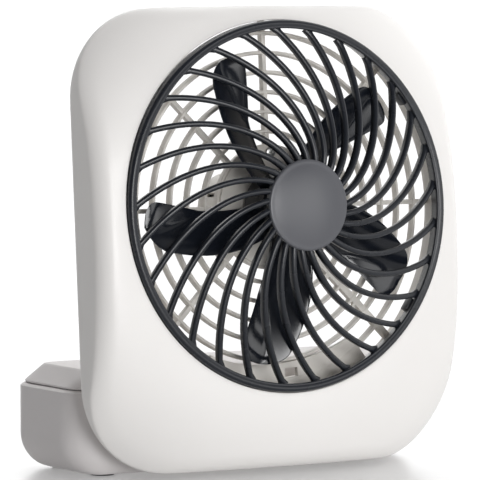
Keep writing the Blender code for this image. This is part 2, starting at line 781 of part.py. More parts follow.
def make_base_tub(mats):
    """Lower shell of the base: walls, floor, door opening and recesses."""
    rim = SEAM_HEIGHT
    outer = [bottom_loop(math.pi / 2 * i / 4, 0) for i in range(5)]
    inner = [bottom_loop(math.pi / 2 * i / 2, BASE_WALL) for i in (2, 1, 0)]
    loops = [*outer, base_loop(0, rim - 1 * MM), base_loop(1.6 * MM, rim),
             base_loop(BASE_WALL, rim), *inner]
    tub = loft("base_tub", loops, closed=False)
    gap = 0.4 * MM
    door = box("door", (-DOOR_HALF_WIDTH - gap, DOOR_FRONT - gap, -MM),
               (DOOR_HALF_WIDTH + gap, BASE_BACK + MM, DOOR_HEIGHT + gap))
    cuts = [door]
    seats = []
    for x, y in foot_places():
        seats.append(cylinder("seat", 4 * MM, (x, y, 2.6 * MM), (x, y, 6.4 * MM), 20))
        cuts.append(cylinder("recess", FOOT_RADIUS + GAP, (x, y, 0), (x, y, 2.4 * MM), 20))
        cuts.append(cylinder("sink", 3.2 * MM, (x, y, 0), (x, y, 4.5 * MM), 14))
        cuts.append(cylinder("hole", 1.8 * MM, (x, y, 0), (x, y, 8 * MM), 12))
    tub = union(tub, *seats)
    cuts.append(box("switch", (SWITCH_X - 8 * MM, BASE_BACK - 4 * MM, SWITCH_Z - 3 * MM),
                    (SWITCH_X + 8 * MM, BASE_BACK + MM, SWITCH_Z + 3 * MM)))
    cuts.append(cylinder("jack", 4.6 * MM, (BASE_HALF_WIDTH - 4 * MM, JACK_Y, JACK_Z),
                         (BASE_HALF_WIDTH + MM, JACK_Y, JACK_Z), 28))
    tub = cut(tub, *cuts, *hinge_slots(0))
    return finish_mesh(smooth(tub), None, mats["warm_grey"])


def make_base_cover(mats):
    """Upper shell of the base, sloped at the sides and back and round at the hinge."""
    low = SEAM_HEIGHT + GAP
    slope = COVER_SLOPE
    foot = 1.9 * MM
    loops = [base_loop(foot, low, 0.9 * MM), base_loop(foot, low + 0.8 * MM, 0.4 * MM)]
    for i in range(1, 5):
        turn = math.radians(10 + 80 * i / 4)
        front = HINGE_Y - HINGE_ROUNDING * math.cos(turn) - BASE_FRONT
        height = HINGE_Z + (BASE_TOP - HINGE_Z) * math.sin(turn)
        share = (height - low - 0.8 * MM) / (BASE_TOP - low - 0.8 * MM)
        loops.append(base_loop(foot + (slope - foot) * share, height, front))
    wall = 2.2 * MM
    inner = [base_loop(wall + 2 * MM, low, wall),
             base_loop(wall + 3.7 * MM, low + 1.6 * MM, wall + 0.6 * MM),
             base_loop(slope + 1.8 * MM, BASE_TOP - wall, 9.4 * MM)]
    cover = loft("base_cover", [*reversed(loops), *inner], closed=False)
    blocks = []
    reach = SLOT_WIDTH / 2 + CHEEK_WIDTH
    for side in (-1, 1):
        middle = side * LUG_CENTRE
        blocks.append(box("block", (middle - reach, BASE_FRONT + BASE_WALL + 0.6 * MM,
                                    HINGE_Z - 5 * MM),
                          (middle + reach, HINGE_Y + 8.7 * MM, BASE_TOP - 1.7 * MM)))
    for x, y in foot_places():
        blocks.append(cylinder("post", 3 * MM, (x, y, 7 * MM), (x, y, BASE_TOP - 1.8 * MM), 14))
    cover = union(cover, *blocks)
    bores = []
    for x, y in foot_places():
        bores.append(cylinder("bore", 1.55 * MM, (x, y, 6 * MM), (x, y, 15 * MM), 12))
    for side in (-1, 1):
        reach = PIN_LENGTH / 2 + MM
        bores.append(cylinder("bore", PIN_RADIUS + 0.1 * MM,
                              (side * LUG_CENTRE - reach, HINGE_Y, HINGE_Z),
                              (side * LUG_CENTRE + reach, HINGE_Y, HINGE_Z), 24))
    cover = cut(cut(cover, *hinge_slots(0.6 * MM)), *bores)
    return finish_mesh(smooth(cover), None, mats["warm_grey"])


def foot_places():
    """(x, y) of the four feet, each over a screw."""
    front = BASE_FRONT + 13 * MM
    back = BASE_BACK - 15 * MM
    return [(-FOOT_X, front), (FOOT_X, front), (-FOOT_X, back), (FOOT_X, back)]


def make_base_fixings(mats):
    """Rubber feet, and the screws that they hide."""
    for i, (x, y) in enumerate(foot_places(), start=1):
        foot = turned(f"foot_{i}", [
            (0, 2.1 * MM), (FOOT_RADIUS, 2.1 * MM), (FOOT_RADIUS, 0.5 * MM),
            (FOOT_RADIUS - 0.5 * MM, 0), (0, 0)], 20)
        finish_mesh(smooth(foot), None, mats["rubber"], (x, y, 0))
        solid = screw(f"base_screw_{i}", 2.9 * MM, 1.2 * MM, 1.4 * MM, 9 * MM)
        finish_mesh(smooth(solid), None, mats["steel"], (x, y, 4.2 * MM), (math.pi, 0, 0))


def make_hinge(mats):
    """Pins through the lugs and the washers that give the hinge its drag."""
    for name, side in (("left", -1), ("right", 1)):
        middle = side * LUG_CENTRE
        half = PIN_LENGTH / 2
        pin = cylinder(f"hinge_pin_{name}", PIN_RADIUS, (-half, 0, 0), (half, 0, 0), 24)
        finish_mesh(smooth(pin), None, mats["steel"], (middle, HINGE_Y, HINGE_Z))
        start = LUG_WIDTH / 2 + GAP
        washer = turned(f"hinge_washer_{name}", [
            (PIN_RADIUS + 0.2 * MM, start + MM), (4.6 * MM, start + MM), (4.6 * MM, start),
            (PIN_RADIUS + 0.2 * MM, start)], 16)
        finish_mesh(smooth(washer), None, mats["steel"], (middle, HINGE_Y, HINGE_Z),
                    (0, side * math.pi / 2, 0))


def make_batteries(mats):
    """Two D cells end to end with a spring and a plate at the ends."""
    for i, x in ((1, -CELL_LENGTH / 2 - GAP), (2, CELL_LENGTH / 2)):
        half = CELL_LENGTH / 2
        cell = turned(f"battery_{i}", [
            (0, half), (4.6 * MM, half), (4.6 * MM, half - 1.5 * MM),
            (CELL_RADIUS - 1 * MM, half - 1.5 * MM), (CELL_RADIUS, half - 2.5 * MM),
            (CELL_RADIUS, -half + 1 * MM), (CELL_RADIUS - 1 * MM, -half), (0, -half)], 28)
        finish_mesh(smooth(cell), None, mats["cell"], (x, CELL_Y, CELL_Z), (0, math.pi / 2, 0))
    turns = 3
    start = -CELL_LENGTH - 2 * GAP - 0.5 * MM
    points = []
    for i in range(turns * 9 + 1):
        angle = 2 * math.pi * i / 9
        share = i / (turns * 9)
        radius = (3 + 1.5 * share) * MM
        points.append((start - 4.6 * MM * share, CELL_Y + radius * math.cos(angle),
                       CELL_Z + radius * math.sin(angle)))
    rod("contact_spring", points, 0.5 * MM, None, mats["steel"])
    x = CELL_LENGTH + GAP
    plate = box("contact_plate", (x, CELL_Y - 8 * MM, CELL_Z - 9 * MM),
                (x + 0.8 * MM, CELL_Y + 5 * MM, CELL_Z + 9 * MM))
    finish_mesh(plate, None, mats["brass"])


def make_switch(mats):
    """Slide switch on the inside of the back wall, and its knob."""
    inside = BASE_BACK - BASE_WALL - GAP
    body = box("switch_body", (SWITCH_X - 10 * MM, inside - 3.2 * MM, SWITCH_Z - 5 * MM),
               (SWITCH_X + 10 * MM, inside, SWITCH_Z + 5 * MM))
    slot = box("slot", (SWITCH_X - 7.6 * MM, inside - 1.2 * MM, SWITCH_Z - 2 * MM),
               (SWITCH_X + 7.6 * MM, inside + MM, SWITCH_Z + 2 * MM))
    finish_mesh(cut(body, slot), None, mats["black"])
    stem = box("switch_knob", (-2.2 * MM, inside - 0.8 * MM, -1.6 * MM),
               (2.2 * MM, BASE_BACK + 0.2 * MM, 1.6 * MM))
    grip = box("grip", (-3.4 * MM, BASE_BACK - 1.4 * MM, -2.5 * MM),
               (3.4 * MM, BASE_BACK + 1.2 * MM, 2.5 * MM), 0.4 * MM)
    grooves = []
    for x in (-1.6, 0, 1.6):
        grooves.append(box("groove", ((x - 0.3) * MM, BASE_BACK + 0.8 * MM, -3 * MM),
                           ((x + 0.3) * MM, BASE_BACK + 2 * MM, 3 * MM)))
    knob = cut(union(stem, grip), *grooves)
    finish_mesh(knob, None, mats["charcoal"], (SWITCH_X, 0, SWITCH_Z))


def make_jack(mats):
    """Barrel socket inside the right side wall."""
    outer = BASE_HALF_WIDTH - 0.4 * MM
    inside = BASE_HALF_WIDTH - BASE_WALL - GAP
    nose = cylinder("dc_jack", 4.3 * MM, (inside - 2 * MM, JACK_Y, JACK_Z),
                    (outer, JACK_Y, JACK_Z), 28)
    body = box("body", (inside - 11 * MM, JACK_Y - 4.5 * MM, JACK_Z - 5 * MM),
               (inside, JACK_Y + 4.5 * MM, JACK_Z + 5 * MM))
    bore = cylinder("bore", 2.9 * MM, (outer - 9.5 * MM, JACK_Y, JACK_Z),
                    (outer + MM, JACK_Y, JACK_Z), 28)
    finish_mesh(smooth(cut(union(nose, body), bore)), None, mats["black"])
    pin = cylinder("jack_pin", 1 * MM, (outer - 9 * MM, JACK_Y, JACK_Z),
                   (outer - 1.5 * MM, JACK_Y, JACK_Z), 16)
    finish_mesh(smooth(pin), None, mats["brass"])


def make_base_leads(mats):
    """Leads from the spring to the switch, and from the jack to the plate."""
    behind = BASE_BACK - 4.7 * MM
    rod("lead_battery", [
        (-70 * MM, CELL_Y - 12 * MM, CELL_Z), (-72 * MM, CELL_Y + 2 * MM, CELL_Z + 4 * MM),
        (-72 * MM, BASE_BACK - 13 * MM, CELL_Z + 5 * MM),
        (-68.5 * MM, BASE_BACK - 8.6 * MM, SWITCH_Z + 2 * MM), (-60 * MM, behind, SWITCH_Z),
        (SWITCH_X - 11 * MM, behind, SWITCH_Z)],
        0.7 * MM, None, mats["red"])
    jack_back = BASE_HALF_WIDTH - BASE_WALL - 12 * MM - GAP
    rod("lead_jack", [
        (jack_back, JACK_Y, JACK_Z), (jack_back - 1.6 * MM, JACK_Y + 2 * MM, JACK_Z + 3 * MM),
        (CELL_LENGTH + 3 * MM, JACK_Y + 5 * MM, JACK_Z + 5 * MM)],
        0.7 * MM, None, mats["black"])


def make_battery_door(mats):
    """Underside door that turns up at the back and slides out backwards."""
    wall = DOOR_WALL
    middle_y, middle_z = BASE_BACK - BOTTOM_INSET, BASE_BOTTOM + BOTTOM_RISE
    outline = [(DOOR_FRONT, BASE_BOTTOM + wall), (DOOR_FRONT, BASE_BOTTOM)]
    for thick, steps in ((0, range(6)), (wall, range(5, -1, -1))):
        rise = BOTTOM_RISE - thick
        last = math.acos((middle_z - DOOR_HEIGHT) / rise)
        for i in steps:
            turn = last * i / 5
            outline.append((middle_y + (BOTTOM_INSET - thick) * math.sin(turn),
                            middle_z - rise * math.cos(turn)))
    ends = [[(x, y, z) for y, z in outline] for x in (-DOOR_HALF_WIDTH, DOOR_HALF_WIDTH)]
    door = loft("battery_door", ends, closed=False)
    finish_mesh(smooth(door), None, mats["warm_grey"])


def make_materials():
    """All the materials of the fan."""
    return {
        "white": material("white_shell", (0.80, 0.79, 0.77), 0.42),
        "warm_light": material("light_shell", (0.62, 0.59, 0.54), 0.48),
        "warm_grey": material("grey_shell", (0.40, 0.37, 0.355), 0.48),
        "charcoal": material("charcoal", (0.045, 0.048, 0.056), 0.38),
        "cap": material("hub_cap", (0.13, 0.13, 0.14), 0.42),
        "blade": material("blade", (0.016, 0.019, 0.026), 0.16),
        "black": material("black", (0.02, 0.02, 0.02), 0.5),
        "rubber": material("rubber", (0.03, 0.03, 0.03), 0.85),
        "steel": material("steel", (0.56, 0.56, 0.55), 0.3, 1.0),
        "brass": material("brass", (0.72, 0.55, 0.26), 0.3, 1.0),
        "copper": material("copper", (0.6, 0.3, 0.16), 0.35, 1.0),
        "cell": material("cell", (0.30, 0.31, 0.33), 0.35, 0.6),
        "red": material("lead_red", (0.45, 0.03, 0.02), 0.5),
    }


def main():
    """Build the fan."""
    mats = make_materials()
    head = empty("head_hinge", (0, HINGE_Y, HINGE_Z), (-HEAD_LEAN, 0, 0))
    rotor = empty("fan_axis", (0, FAN_Y, FAN_Z), (math.pi / 2, 0, 0), head)
    make_front_housing(head, mats)
    make_front_grille(head, mats)
    make_grille_cap(head, mats)
    make_rear_housing(head, mats)
    make_rear_grille(head, mats)
    make_motor_cup(head, mats)
    make_head_screws(head, mats)
    make_motor(head, mats)
    make_motor_leads(head, mats)
    make_impeller(rotor, mats)
    make_rotor(rotor, mats)
    make_base_tub(mats)
    make_base_cover(mats)
    make_base_fixings(mats)
    make_hinge(mats)
    make_batteries(mats)
    make_switch(mats)
    make_jack(mats)
    make_base_leads(mats)
    make_battery_door(mats)


clear_scene()
PARTS = new_collection("desk_fan")
CUTTERS = new_collection("cutters")
main()
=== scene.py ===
"""Looks of the square desk fan: fine moulded shells, swept grille, blades and materials.

Lengths are in millimetres until a mesh is placed; the frame is in metres.
The head is modelled about the hinge axis (x right, y back, z up), and pieces that turn
about the fan axis are modelled with their local z pointing to the front.
"""

import json
import math

import bmesh
import bpy
from mathutils import Matrix, Vector


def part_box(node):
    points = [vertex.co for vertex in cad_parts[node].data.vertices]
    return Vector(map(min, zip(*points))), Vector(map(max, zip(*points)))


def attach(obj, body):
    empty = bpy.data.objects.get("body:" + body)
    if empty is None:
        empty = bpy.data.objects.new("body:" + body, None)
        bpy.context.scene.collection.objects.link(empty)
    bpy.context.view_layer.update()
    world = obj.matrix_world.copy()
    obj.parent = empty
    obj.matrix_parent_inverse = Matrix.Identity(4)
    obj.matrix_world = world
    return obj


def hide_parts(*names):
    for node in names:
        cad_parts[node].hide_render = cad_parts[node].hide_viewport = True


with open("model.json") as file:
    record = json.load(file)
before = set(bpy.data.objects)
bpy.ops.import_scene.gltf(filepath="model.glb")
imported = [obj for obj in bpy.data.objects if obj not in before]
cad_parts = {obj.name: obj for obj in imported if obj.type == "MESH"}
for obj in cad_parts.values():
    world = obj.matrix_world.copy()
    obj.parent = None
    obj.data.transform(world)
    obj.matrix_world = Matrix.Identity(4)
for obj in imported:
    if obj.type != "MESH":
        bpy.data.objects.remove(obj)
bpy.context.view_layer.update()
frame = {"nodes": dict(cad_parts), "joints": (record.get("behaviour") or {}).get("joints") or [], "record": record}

MM = 0.001
TAU = 2 * math.pi
AXIS = 0.01                # smallest radius of a turned profile

# Case of the head
HEAD_WIDTH = 170.0
HEAD_HEIGHT = 183.5
HEAD_CORNER = 36.0
HEAD_DEPTH = 23.3
HEAD_Z = 58.0              # middle of the case above the hinge
FAN_Y = -35.1              # ring plane in front of the hinge
FAN_Z = 69.8               # fan axis above the hinge
FLAT_RADIUS = 67.0         # the face is flat inside this, and falls back outside it
FALL_RADIUS = 56.7
EDGE_ROUNDING = 6.5
SHELL_WALL = 2.4
MOUTH = 74.05
LIP_ROLL = 0.35            # rounding where the face meets the mouth
OPENING = 76.0             # rear opening
DUCT_FRONT = 8.4
PLATE_BACK = 16.5
FLANGE_FRONT = 20.8
PAN_CORNER = 55.0
HEAD_SEGMENTS = 240        # points round the case and the ring

# Front grille
RING_OUTER = 73.8
RING_INNER = 70.3
HUB_RADIUS = 17.6
HUB_FORWARD = 14.0         # front of the ribs at the hub, before the ring plane
CAP_RISE = 3.2             # dome of the hub cap above its seat
CAP_FALL = 2.0
CAP_RADIUS = 18.1
DOME_RADIUS = 16.9         # where the cap's dome meets its rolled edge
TAB_ANGLES = (36, -36, 144, -144)
RIB_COUNT = 29
RIB_FIRST = math.radians(91.8) + math.radians(0.15)
RIB_SWEEP = math.radians(43.1)
RIB_BEND = 0.15
RIB_OVERLAP = 1.2          # how far a rib runs in under the cap
RIB_STEPS = 26

# Rear grille and motor cup
RING_COUNT = 6
REAR_RING = 69.4
REAR_PITCH = 7.85
SPOKE_COUNT = 8
CHANNEL_SPOKE = 7          # this one is the wire channel
GRILLE_Y = 14.0            # front of the rear grille behind the ring plane
BAR_DEPTH = 3.0
FLANGE_RADIUS = 25.0
FLANGE_SCREW = 21.7
CUP_RADIUS = 14.8
CUP_END = 47.0
VENT_COUNT = 8
WEB_START, WEB_END = -27.5, 34.5   # degrees either side of straight down

# Impeller
BLADE_TIP = 63.5
BLADE_ROOT = 13.2
BLADE_COUNT = 5
BLADE_STEPS = 26
TIP_ROUND = 0.13           # share of the blade that the rounding of its tip takes
FIRST_BLADE = math.radians(44)
IMPELLER_HUB = 14.2

# Hinge
LUG_CENTRE = 45.0
LUG_WIDTH = 9.0
LUG_RADIUS = 5.4
PIN_RADIUS = 1.6
SLOT_WIDTH = 12.2


def joint(name):
    """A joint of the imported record."""
    return next(j for j in frame["joints"] if j["name"] == name)


HINGE = Vector(joint("head_tilt")["pos_m"])
SPIN = Vector(joint("blade_spin")["axis"]).normalized()
LEAN = math.atan2(SPIN.z, -SPIN.y)
HEAD = Matrix.Translation(HINGE) @ Matrix.Rotation(-LEAN, 4, "X")
FAN = (HEAD @ Matrix.Translation(Vector((0, FAN_Y, FAN_Z)) * MM)
       @ Matrix.Rotation(math.pi / 2, 4, "X"))
ROW = Matrix.Identity(4)


# ---------------------------------------------------------------- mesh helpers

def to_object(name, bm, place, mat, smooth_angle=38):
    """Object from a millimetre bmesh, moved to its place in the row frame."""
    bmesh.ops.remove_doubles(bm, verts=bm.verts, dist=1e-4)
    bmesh.ops.recalc_face_normals(bm, faces=bm.faces)
    bm.transform(place @ Matrix.Scale(MM, 4))
    mesh = bpy.data.meshes.new(name)
    bm.to_mesh(mesh)
    bm.free()
    mesh.shade_smooth()
    mesh.set_sharp_from_angle(angle=math.radians(smooth_angle))
    mesh.materials.append(mat)
    obj = bpy.data.objects.new(name, mesh)
    bpy.context.scene.collection.objects.link(obj)
    return obj


def skin(bm, rows, along=False):
    """Quads through closed rows of points; along joins the last row to the first."""
    made = [[bm.verts.new(p) for p in row] for row in rows]
    pairs = list(zip(made, made[1:]))
    if along:
        pairs.append((made[-1], made[0]))
    count = len(made[0])
    for low, high in pairs:
        for i in range(count):
            j = (i + 1) % count
            bm.faces.new((low[i], low[j], high[j], high[i]))
    return made


def lathe(bm, profile, steps=96, closed=True):
    """Turn a (radius, z) profile about z."""
    rows = []
    for radius, z in profile:
        row = []
        for i in range(steps):
            turn = TAU * i / steps
            row.append((radius * math.cos(turn), radius * math.sin(turn), z))
        rows.append(row)
    return skin(bm, rows, along=closed)


def capped_lathe(bm, profile, steps=64):
    """Turn a profile whose ends lie near the axis, and close both ends."""
    close_ends(bm, lathe(bm, profile, steps, closed=False))


def arc(cx, cy, radius, start, end, steps):
    """Points of an arc, in degrees."""
    points = []
    for i in range(steps + 1):
        turn = math.radians(start + (end - start) * i / steps)
        points.append((cx + radius * math.cos(turn), cy + radius * math.sin(turn)))
    return points


def close_ends(bm, rows):
    """Faces over the first and last row of a skin."""
    bm.faces.new(rows[0])
    bm.faces.new(rows[-1])


def block(bm, low, high, turn=None, soft=0.0):
    """Box between two corners with softened edges."""
    part = bmesh.new()
    bmesh.ops.create_cube(part, size=1.0)
    size = Vector(high) - Vector(low)
    middle = (Vector(high) + Vector(low)) / 2
    for vert in part.verts:
        vert.co = Vector([c * s for c, s in zip(vert.co, size)]) + middle
    if soft:
        bmesh.ops.bevel(part, geom=part.edges[:], offset=soft, segments=2, profile=0.6,
                        affect="EDGES")
    if turn is not None:
        part.transform(turn)
    merge(bm, part)


def merge(bm, part):
    """Add one bmesh to another."""
    mesh = bpy.data.meshes.new("merge")
    part.to_mesh(mesh)
    part.free()
    bm.from_mesh(mesh)
    bpy.data.meshes.remove(mesh)


def cut(obj, cutters):
    """Cut closed objects out of obj, and remove them."""
    for cutter in cutters:
        mod = obj.modifiers.new("Cut", "BOOLEAN")
        mod.operation = "DIFFERENCE"
        mod.object = cutter
    bpy.context.view_layer.update()
    depsgraph = bpy.context.evaluated_depsgraph_get()
    mesh = bpy.data.meshes.new_from_object(obj.evaluated_get(depsgraph))
    obj.modifiers.clear()
    obj.data = mesh
    mesh.shade_smooth()
    mesh.set_sharp_from_angle(angle=math.radians(32))
    for cutter in cutters:
        bpy.data.objects.remove(cutter, do_unlink=True)


def tool_cylinder(radius, start, end, place):
    """Cutter cylinder between two points, in millimetres."""
    start, end = Vector(start), Vector(end)
    bm = bmesh.new()
    turn = (end - start).to_track_quat("Z", "Y").to_matrix().to_4x4()
    bmesh.ops.create_cone(bm, cap_ends=True, segments=48, radius1=radius, radius2=radius,
                          depth=(end - start).length,
                          matrix=Matrix.Translation((start + end) / 2) @ turn)
    return to_object("tool", bm, place, MATS["black"])


def tool_box(low, high, place, turn=None, soft=0.0):
    """Cutter box, in millimetres."""
    bm = bmesh.new()
    block(bm, low, high, turn, soft)
    return to_object("tool", bm, place, MATS["black"])


# ---------------------------------------------------------------- materials

def socket_noise(tree, coords, scale, detail):
    """Noise texture in object space."""
    noise = tree.nodes.new("ShaderNodeTexNoise")
    noise.inputs["Scale"].default_value = scale
    noise.inputs["Detail"].default_value = detail
    tree.links.new(coords.outputs["Object"], noise.inputs["Vector"])
    return noise


def ramp(tree, source, low, high, colour_low, colour_high):
    """Colour ramp between two values of a texture."""
    node = tree.nodes.new("ShaderNodeValToRGB")
    node.color_ramp.elements[0].position = low
    node.color_ramp.elements[0].color = (*colour_low, 1)
    node.color_ramp.elements[1].position = high
    node.color_ramp.elements[1].color = (*colour_high, 1)
    tree.links.new(source, node.inputs["Fac"])
    return node


PLAIN_GRAIN = 900


def surface(name, colour, rough, spread=0.06, grain=PLAIN_GRAIN, relief=0.15, metallic=0.0,
            coat=0.0, mottle=0.03):
    """Moulded or plated surface: slight colour drift, uneven gloss and a fine grain."""
    mat = bpy.data.materials.new(name)
    mat.use_nodes = True
    tree = mat.node_tree
    shader = tree.nodes["Principled BSDF"]
    shader.inputs["Metallic"].default_value = metallic
    shader.inputs["Coat Weight"].default_value = coat
    shader.inputs["Coat Roughness"].default_value = 0.12
    coords = tree.nodes.new("ShaderNodeTexCoord")
    broad = socket_noise(tree, coords, 22, 3)
    dark = [c * (1 - mottle) for c in colour]
    light = [min(c * (1 + mottle), 1.0) for c in colour]
    tint = ramp(tree, broad.outputs["Fac"], 0.3, 0.7, dark, light)
    tree.links.new(tint.outputs["Color"], shader.inputs["Base Color"])
    smear = socket_noise(tree, coords, 60, 4)
    gloss = ramp(tree, smear.outputs["Fac"], 0.3, 0.75,
                 [rough - spread / 2] * 3, [rough + spread / 2] * 3)
    tree.links.new(gloss.outputs["Color"], shader.inputs["Roughness"])
    fine = socket_noise(tree, coords, grain, 2)
    bump = tree.nodes.new("ShaderNodeBump")
    bump.inputs["Strength"].default_value = relief
    bump.inputs["Distance"].default_value = 0.0001
    tree.links.new(fine.outputs["Fac"], bump.inputs["Height"])
    tree.links.new(bump.outputs["Normal"], shader.inputs["Normal"])
    return mat


def brushed(name, colour, rough, stretch):
    """Metal whose fine grain is stretched into lines."""
    mat = surface(name, colour, rough, spread=0.12, relief=0.1, metallic=1.0, mottle=0.06)
    tree = mat.node_tree
    coords = next(n for n in tree.nodes if n.bl_idname == "ShaderNodeTexCoord")
    mapping = tree.nodes.new("ShaderNodeMapping")
    mapping.inputs["Scale"].default_value = stretch
    tree.links.new(coords.outputs["Object"], mapping.inputs["Vector"])
    for node in tree.nodes:
        if node.bl_idname != "ShaderNodeTexNoise":
            continue
        if node.inputs["Scale"].default_value == PLAIN_GRAIN:
            tree.links.new(mapping.outputs["Vector"], node.inputs["Vector"])
    return mat


def make_materials():
    """All the materials."""
    charcoal = surface("charcoal", (0.014, 0.016, 0.021), 0.27, grain=1400, relief=0.06,
                       mottle=0.06)
    shader = charcoal.node_tree.nodes["Principled BSDF"]
    shader.inputs["Specular IOR Level"].default_value = 0.38
    return {
        "white": surface("white_shell", (0.84, 0.82, 0.80), 0.42, grain=1500, relief=0.05,
                         coat=0.15, mottle=0.008),
        "light": surface("light_shell", (0.72, 0.69, 0.645), 0.50, grain=1200, relief=0.12,
                         mottle=0.015),
        "grey": surface("grey_shell", (0.73, 0.70, 0.695), 0.58, grain=1400, relief=0.16,
                        mottle=0.015),
        "charcoal": charcoal,
        "cap": surface("hub_cap", (0.085, 0.087, 0.098), 0.30, grain=2200, relief=0.22,
                       mottle=0.05),
        "blade": surface("blade", (0.008, 0.010, 0.015), 0.17, grain=700, relief=0.02,
                         mottle=0.08),
        "black": surface("black", (0.018, 0.018, 0.019), 0.5, mottle=0.1),
        "rubber": surface("rubber", (0.028, 0.028, 0.029), 0.8, grain=1600, relief=0.4,
                          mottle=0.1),
        "steel": brushed("steel", (0.60, 0.60, 0.59), 0.28, (1, 1, 14)),
        "brass": brushed("brass", (0.74, 0.56, 0.27), 0.3, (1, 14, 1)),
        "copper": brushed("copper", (0.62, 0.30, 0.15), 0.34, (1, 30, 1)),
        "cell": surface("cell", (0.20, 0.21, 0.23), 0.32, metallic=0.6, mottle=0.05),
        "red": surface("lead_red", (0.45, 0.03, 0.02), 0.45, mottle=0.08),
    }


# ---------------------------------------------------------------- outlines of the head

def rect_ray(half_u, half_v, corner, angle):
    """Where a ray from the middle of a rounded rectangle leaves it."""
    du, dv = math.cos(angle), math.sin(angle)
    reach = min(half_u / max(abs(du), 1e-9), half_v / max(abs(dv), 1e-9))
    cu, cv = half_u - corner, half_v - corner
    if abs(du) * reach > cu and abs(dv) * reach > cv:
        along = abs(du) * cu + abs(dv) * cv
        off = cu * cu + cv * cv - corner * corner
        reach = along + math.sqrt(max(along * along - off, 0.0))
    return du * reach, dv * reach


def head_outline(inset, angle):
    """Point of the head outline moved in by inset, from the middle of the head."""
    return rect_ray(HEAD_WIDTH / 2 - inset, HEAD_HEIGHT / 2 - inset,
                    max(HEAD_CORNER - inset, 2.0), angle)


def front_fall(u, v):
    """How far the front face falls back."""
    away = max(math.hypot(u, v) - FLAT_RADIUS, 0.0)
    return FALL_RADIUS - math.sqrt(FALL_RADIUS ** 2 - min(away, FALL_RADIUS * 0.95) ** 2)


def squeezed(fall, depth):
    """Depth of the edge rounding, which shrinks where the face falls back."""
    return fall + depth * (1 - fall / (HEAD_DEPTH + 1))


def mouth_point(radius, angle):
    """Point of a circle round the fan axis, from the middle of the head."""
    return radius * math.cos(angle), FAN_Z - HEAD_Z + radius * math.sin(angle)


def circle_row(radius, depth, count):
    """Row round the fan axis in the head's frame."""
    row = []
    for i in range(count):
        turn = TAU * i / count
        row.append((radius * math.cos(turn), FAN_Y + depth, FAN_Z + radius * math.sin(turn)))
    return row


def outline_row(inset, depth, count):
    """Row along the head outline in the head's frame."""
    row = []
    for i in range(count):
        u, v = head_outline(inset, TAU * i / count)
        row.append((u, FAN_Y + depth, HEAD_Z + v))
    return row


def rounding_at(angle):
    """Edge rounding of the head, tighter where the mouth comes near the edge."""
    outer = Vector(head_outline(0, angle))
    inner = Vector(mouth_point(MOUTH, angle))
    return min(EDGE_ROUNDING, 0.8 * (outer - inner).length)


# ---------------------------------------------------------------- head pieces

def front_rows(offset, count):
    """Rows over the front face from the mouth to the rounding, set back by offset."""
    steps = 16
    rows = []
    for k in range(steps + 1):
        share = k / steps
        row = []
        for i in range(count):
            angle = TAU * i / count
            inner = Vector(mouth_point(MOUTH + LIP_ROLL, angle))
            outer = Vector(head_outline(rounding_at(angle), angle))
            u, v = inner.lerp(outer, share)
            row.append((u, FAN_Y + offset + front_fall(u, v), HEAD_Z + v))
        rows.append(row)
    return rows


def mouth_row(radius, offset, count):
    """Row round the mouth, set back by offset from the front face."""
    row = []
    for i in range(count):
        u, v = mouth_point(radius, TAU * i / count)
        row.append((u, FAN_Y + offset + front_fall(u, v), HEAD_Z + v))
    return row


def rounding_rows(count):
    """Rows round the front edge of the head."""
    rows = []
    steps = 9
    for k in range(1, steps + 1):
        turn = math.pi / 2 * k / steps
        row = []
        for i in range(count):
            angle = TAU * i / count
            width = rounding_at(angle)
            u, v = head_outline(width * (1 - math.sin(turn)), angle)
            y = squeezed(front_fall(u, v), width * (1 - math.cos(turn)))
            row.append((u, FAN_Y + y, HEAD_Z + v))
        rows.append(row)
    return rows


def make_front_housing():
    """White shell: domed face, rounded edge, straight sides and the lip of the mouth."""
    count = HEAD_SEGMENTS
    rim = 1.2
    bm = bmesh.new()
    lip = [mouth_row(MOUTH, 3.0, count), mouth_row(MOUTH, 0.6, count),
           mouth_row(MOUTH + 0.12, 0.15, count)]
    face = front_rows(0.0, count)
    sides = [outline_row(rim * (1 - math.cos(t)), HEAD_DEPTH - rim + rim * math.sin(t), count)
             for t in (0.0, 0.4, 0.8, 1.2, math.pi / 2)]
    inner = [outline_row(SHELL_WALL, HEAD_DEPTH, count),
             outline_row(SHELL_WALL, HEAD_DEPTH - 1, count),
             *reversed(front_rows(SHELL_WALL, count))]
    skin(bm, [*lip, *face, *rounding_rows(count), *sides, *inner], along=True)
    obj = to_object("front_shell", bm, HEAD, MATS["white"])
    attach(obj, "head")
    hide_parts("front_housing")


def rib_angle(radius):
    """Angle of a rib at a radius, from where it meets the ring."""
    share = (radius - HUB_RADIUS) / (RING_INNER - HUB_RADIUS)
    return RIB_SWEEP * (share + RIB_BEND * share * (1 - share) - 1)


def rib_forward(radius):
    """Dome of the ribs in front of the ring plane."""
    share = min(max((radius - HUB_RADIUS) / (RING_INNER - HUB_RADIUS), 0.0), 1.0)
    return HUB_FORWARD * (1 - share ** 1.25) - 0.7


def rib_section():
    """Rounded, deep section of a rib: (across, forward)."""
    width, depth = 1.18, 3.0
    points = [(-width * 0.72, -depth), (width * 0.72, -depth)]
    for i in range(9):
        turn = math.pi * i / 8
        points.append((width * math.cos(turn), width * 0.9 * math.sin(turn) - 0.75))
    return points


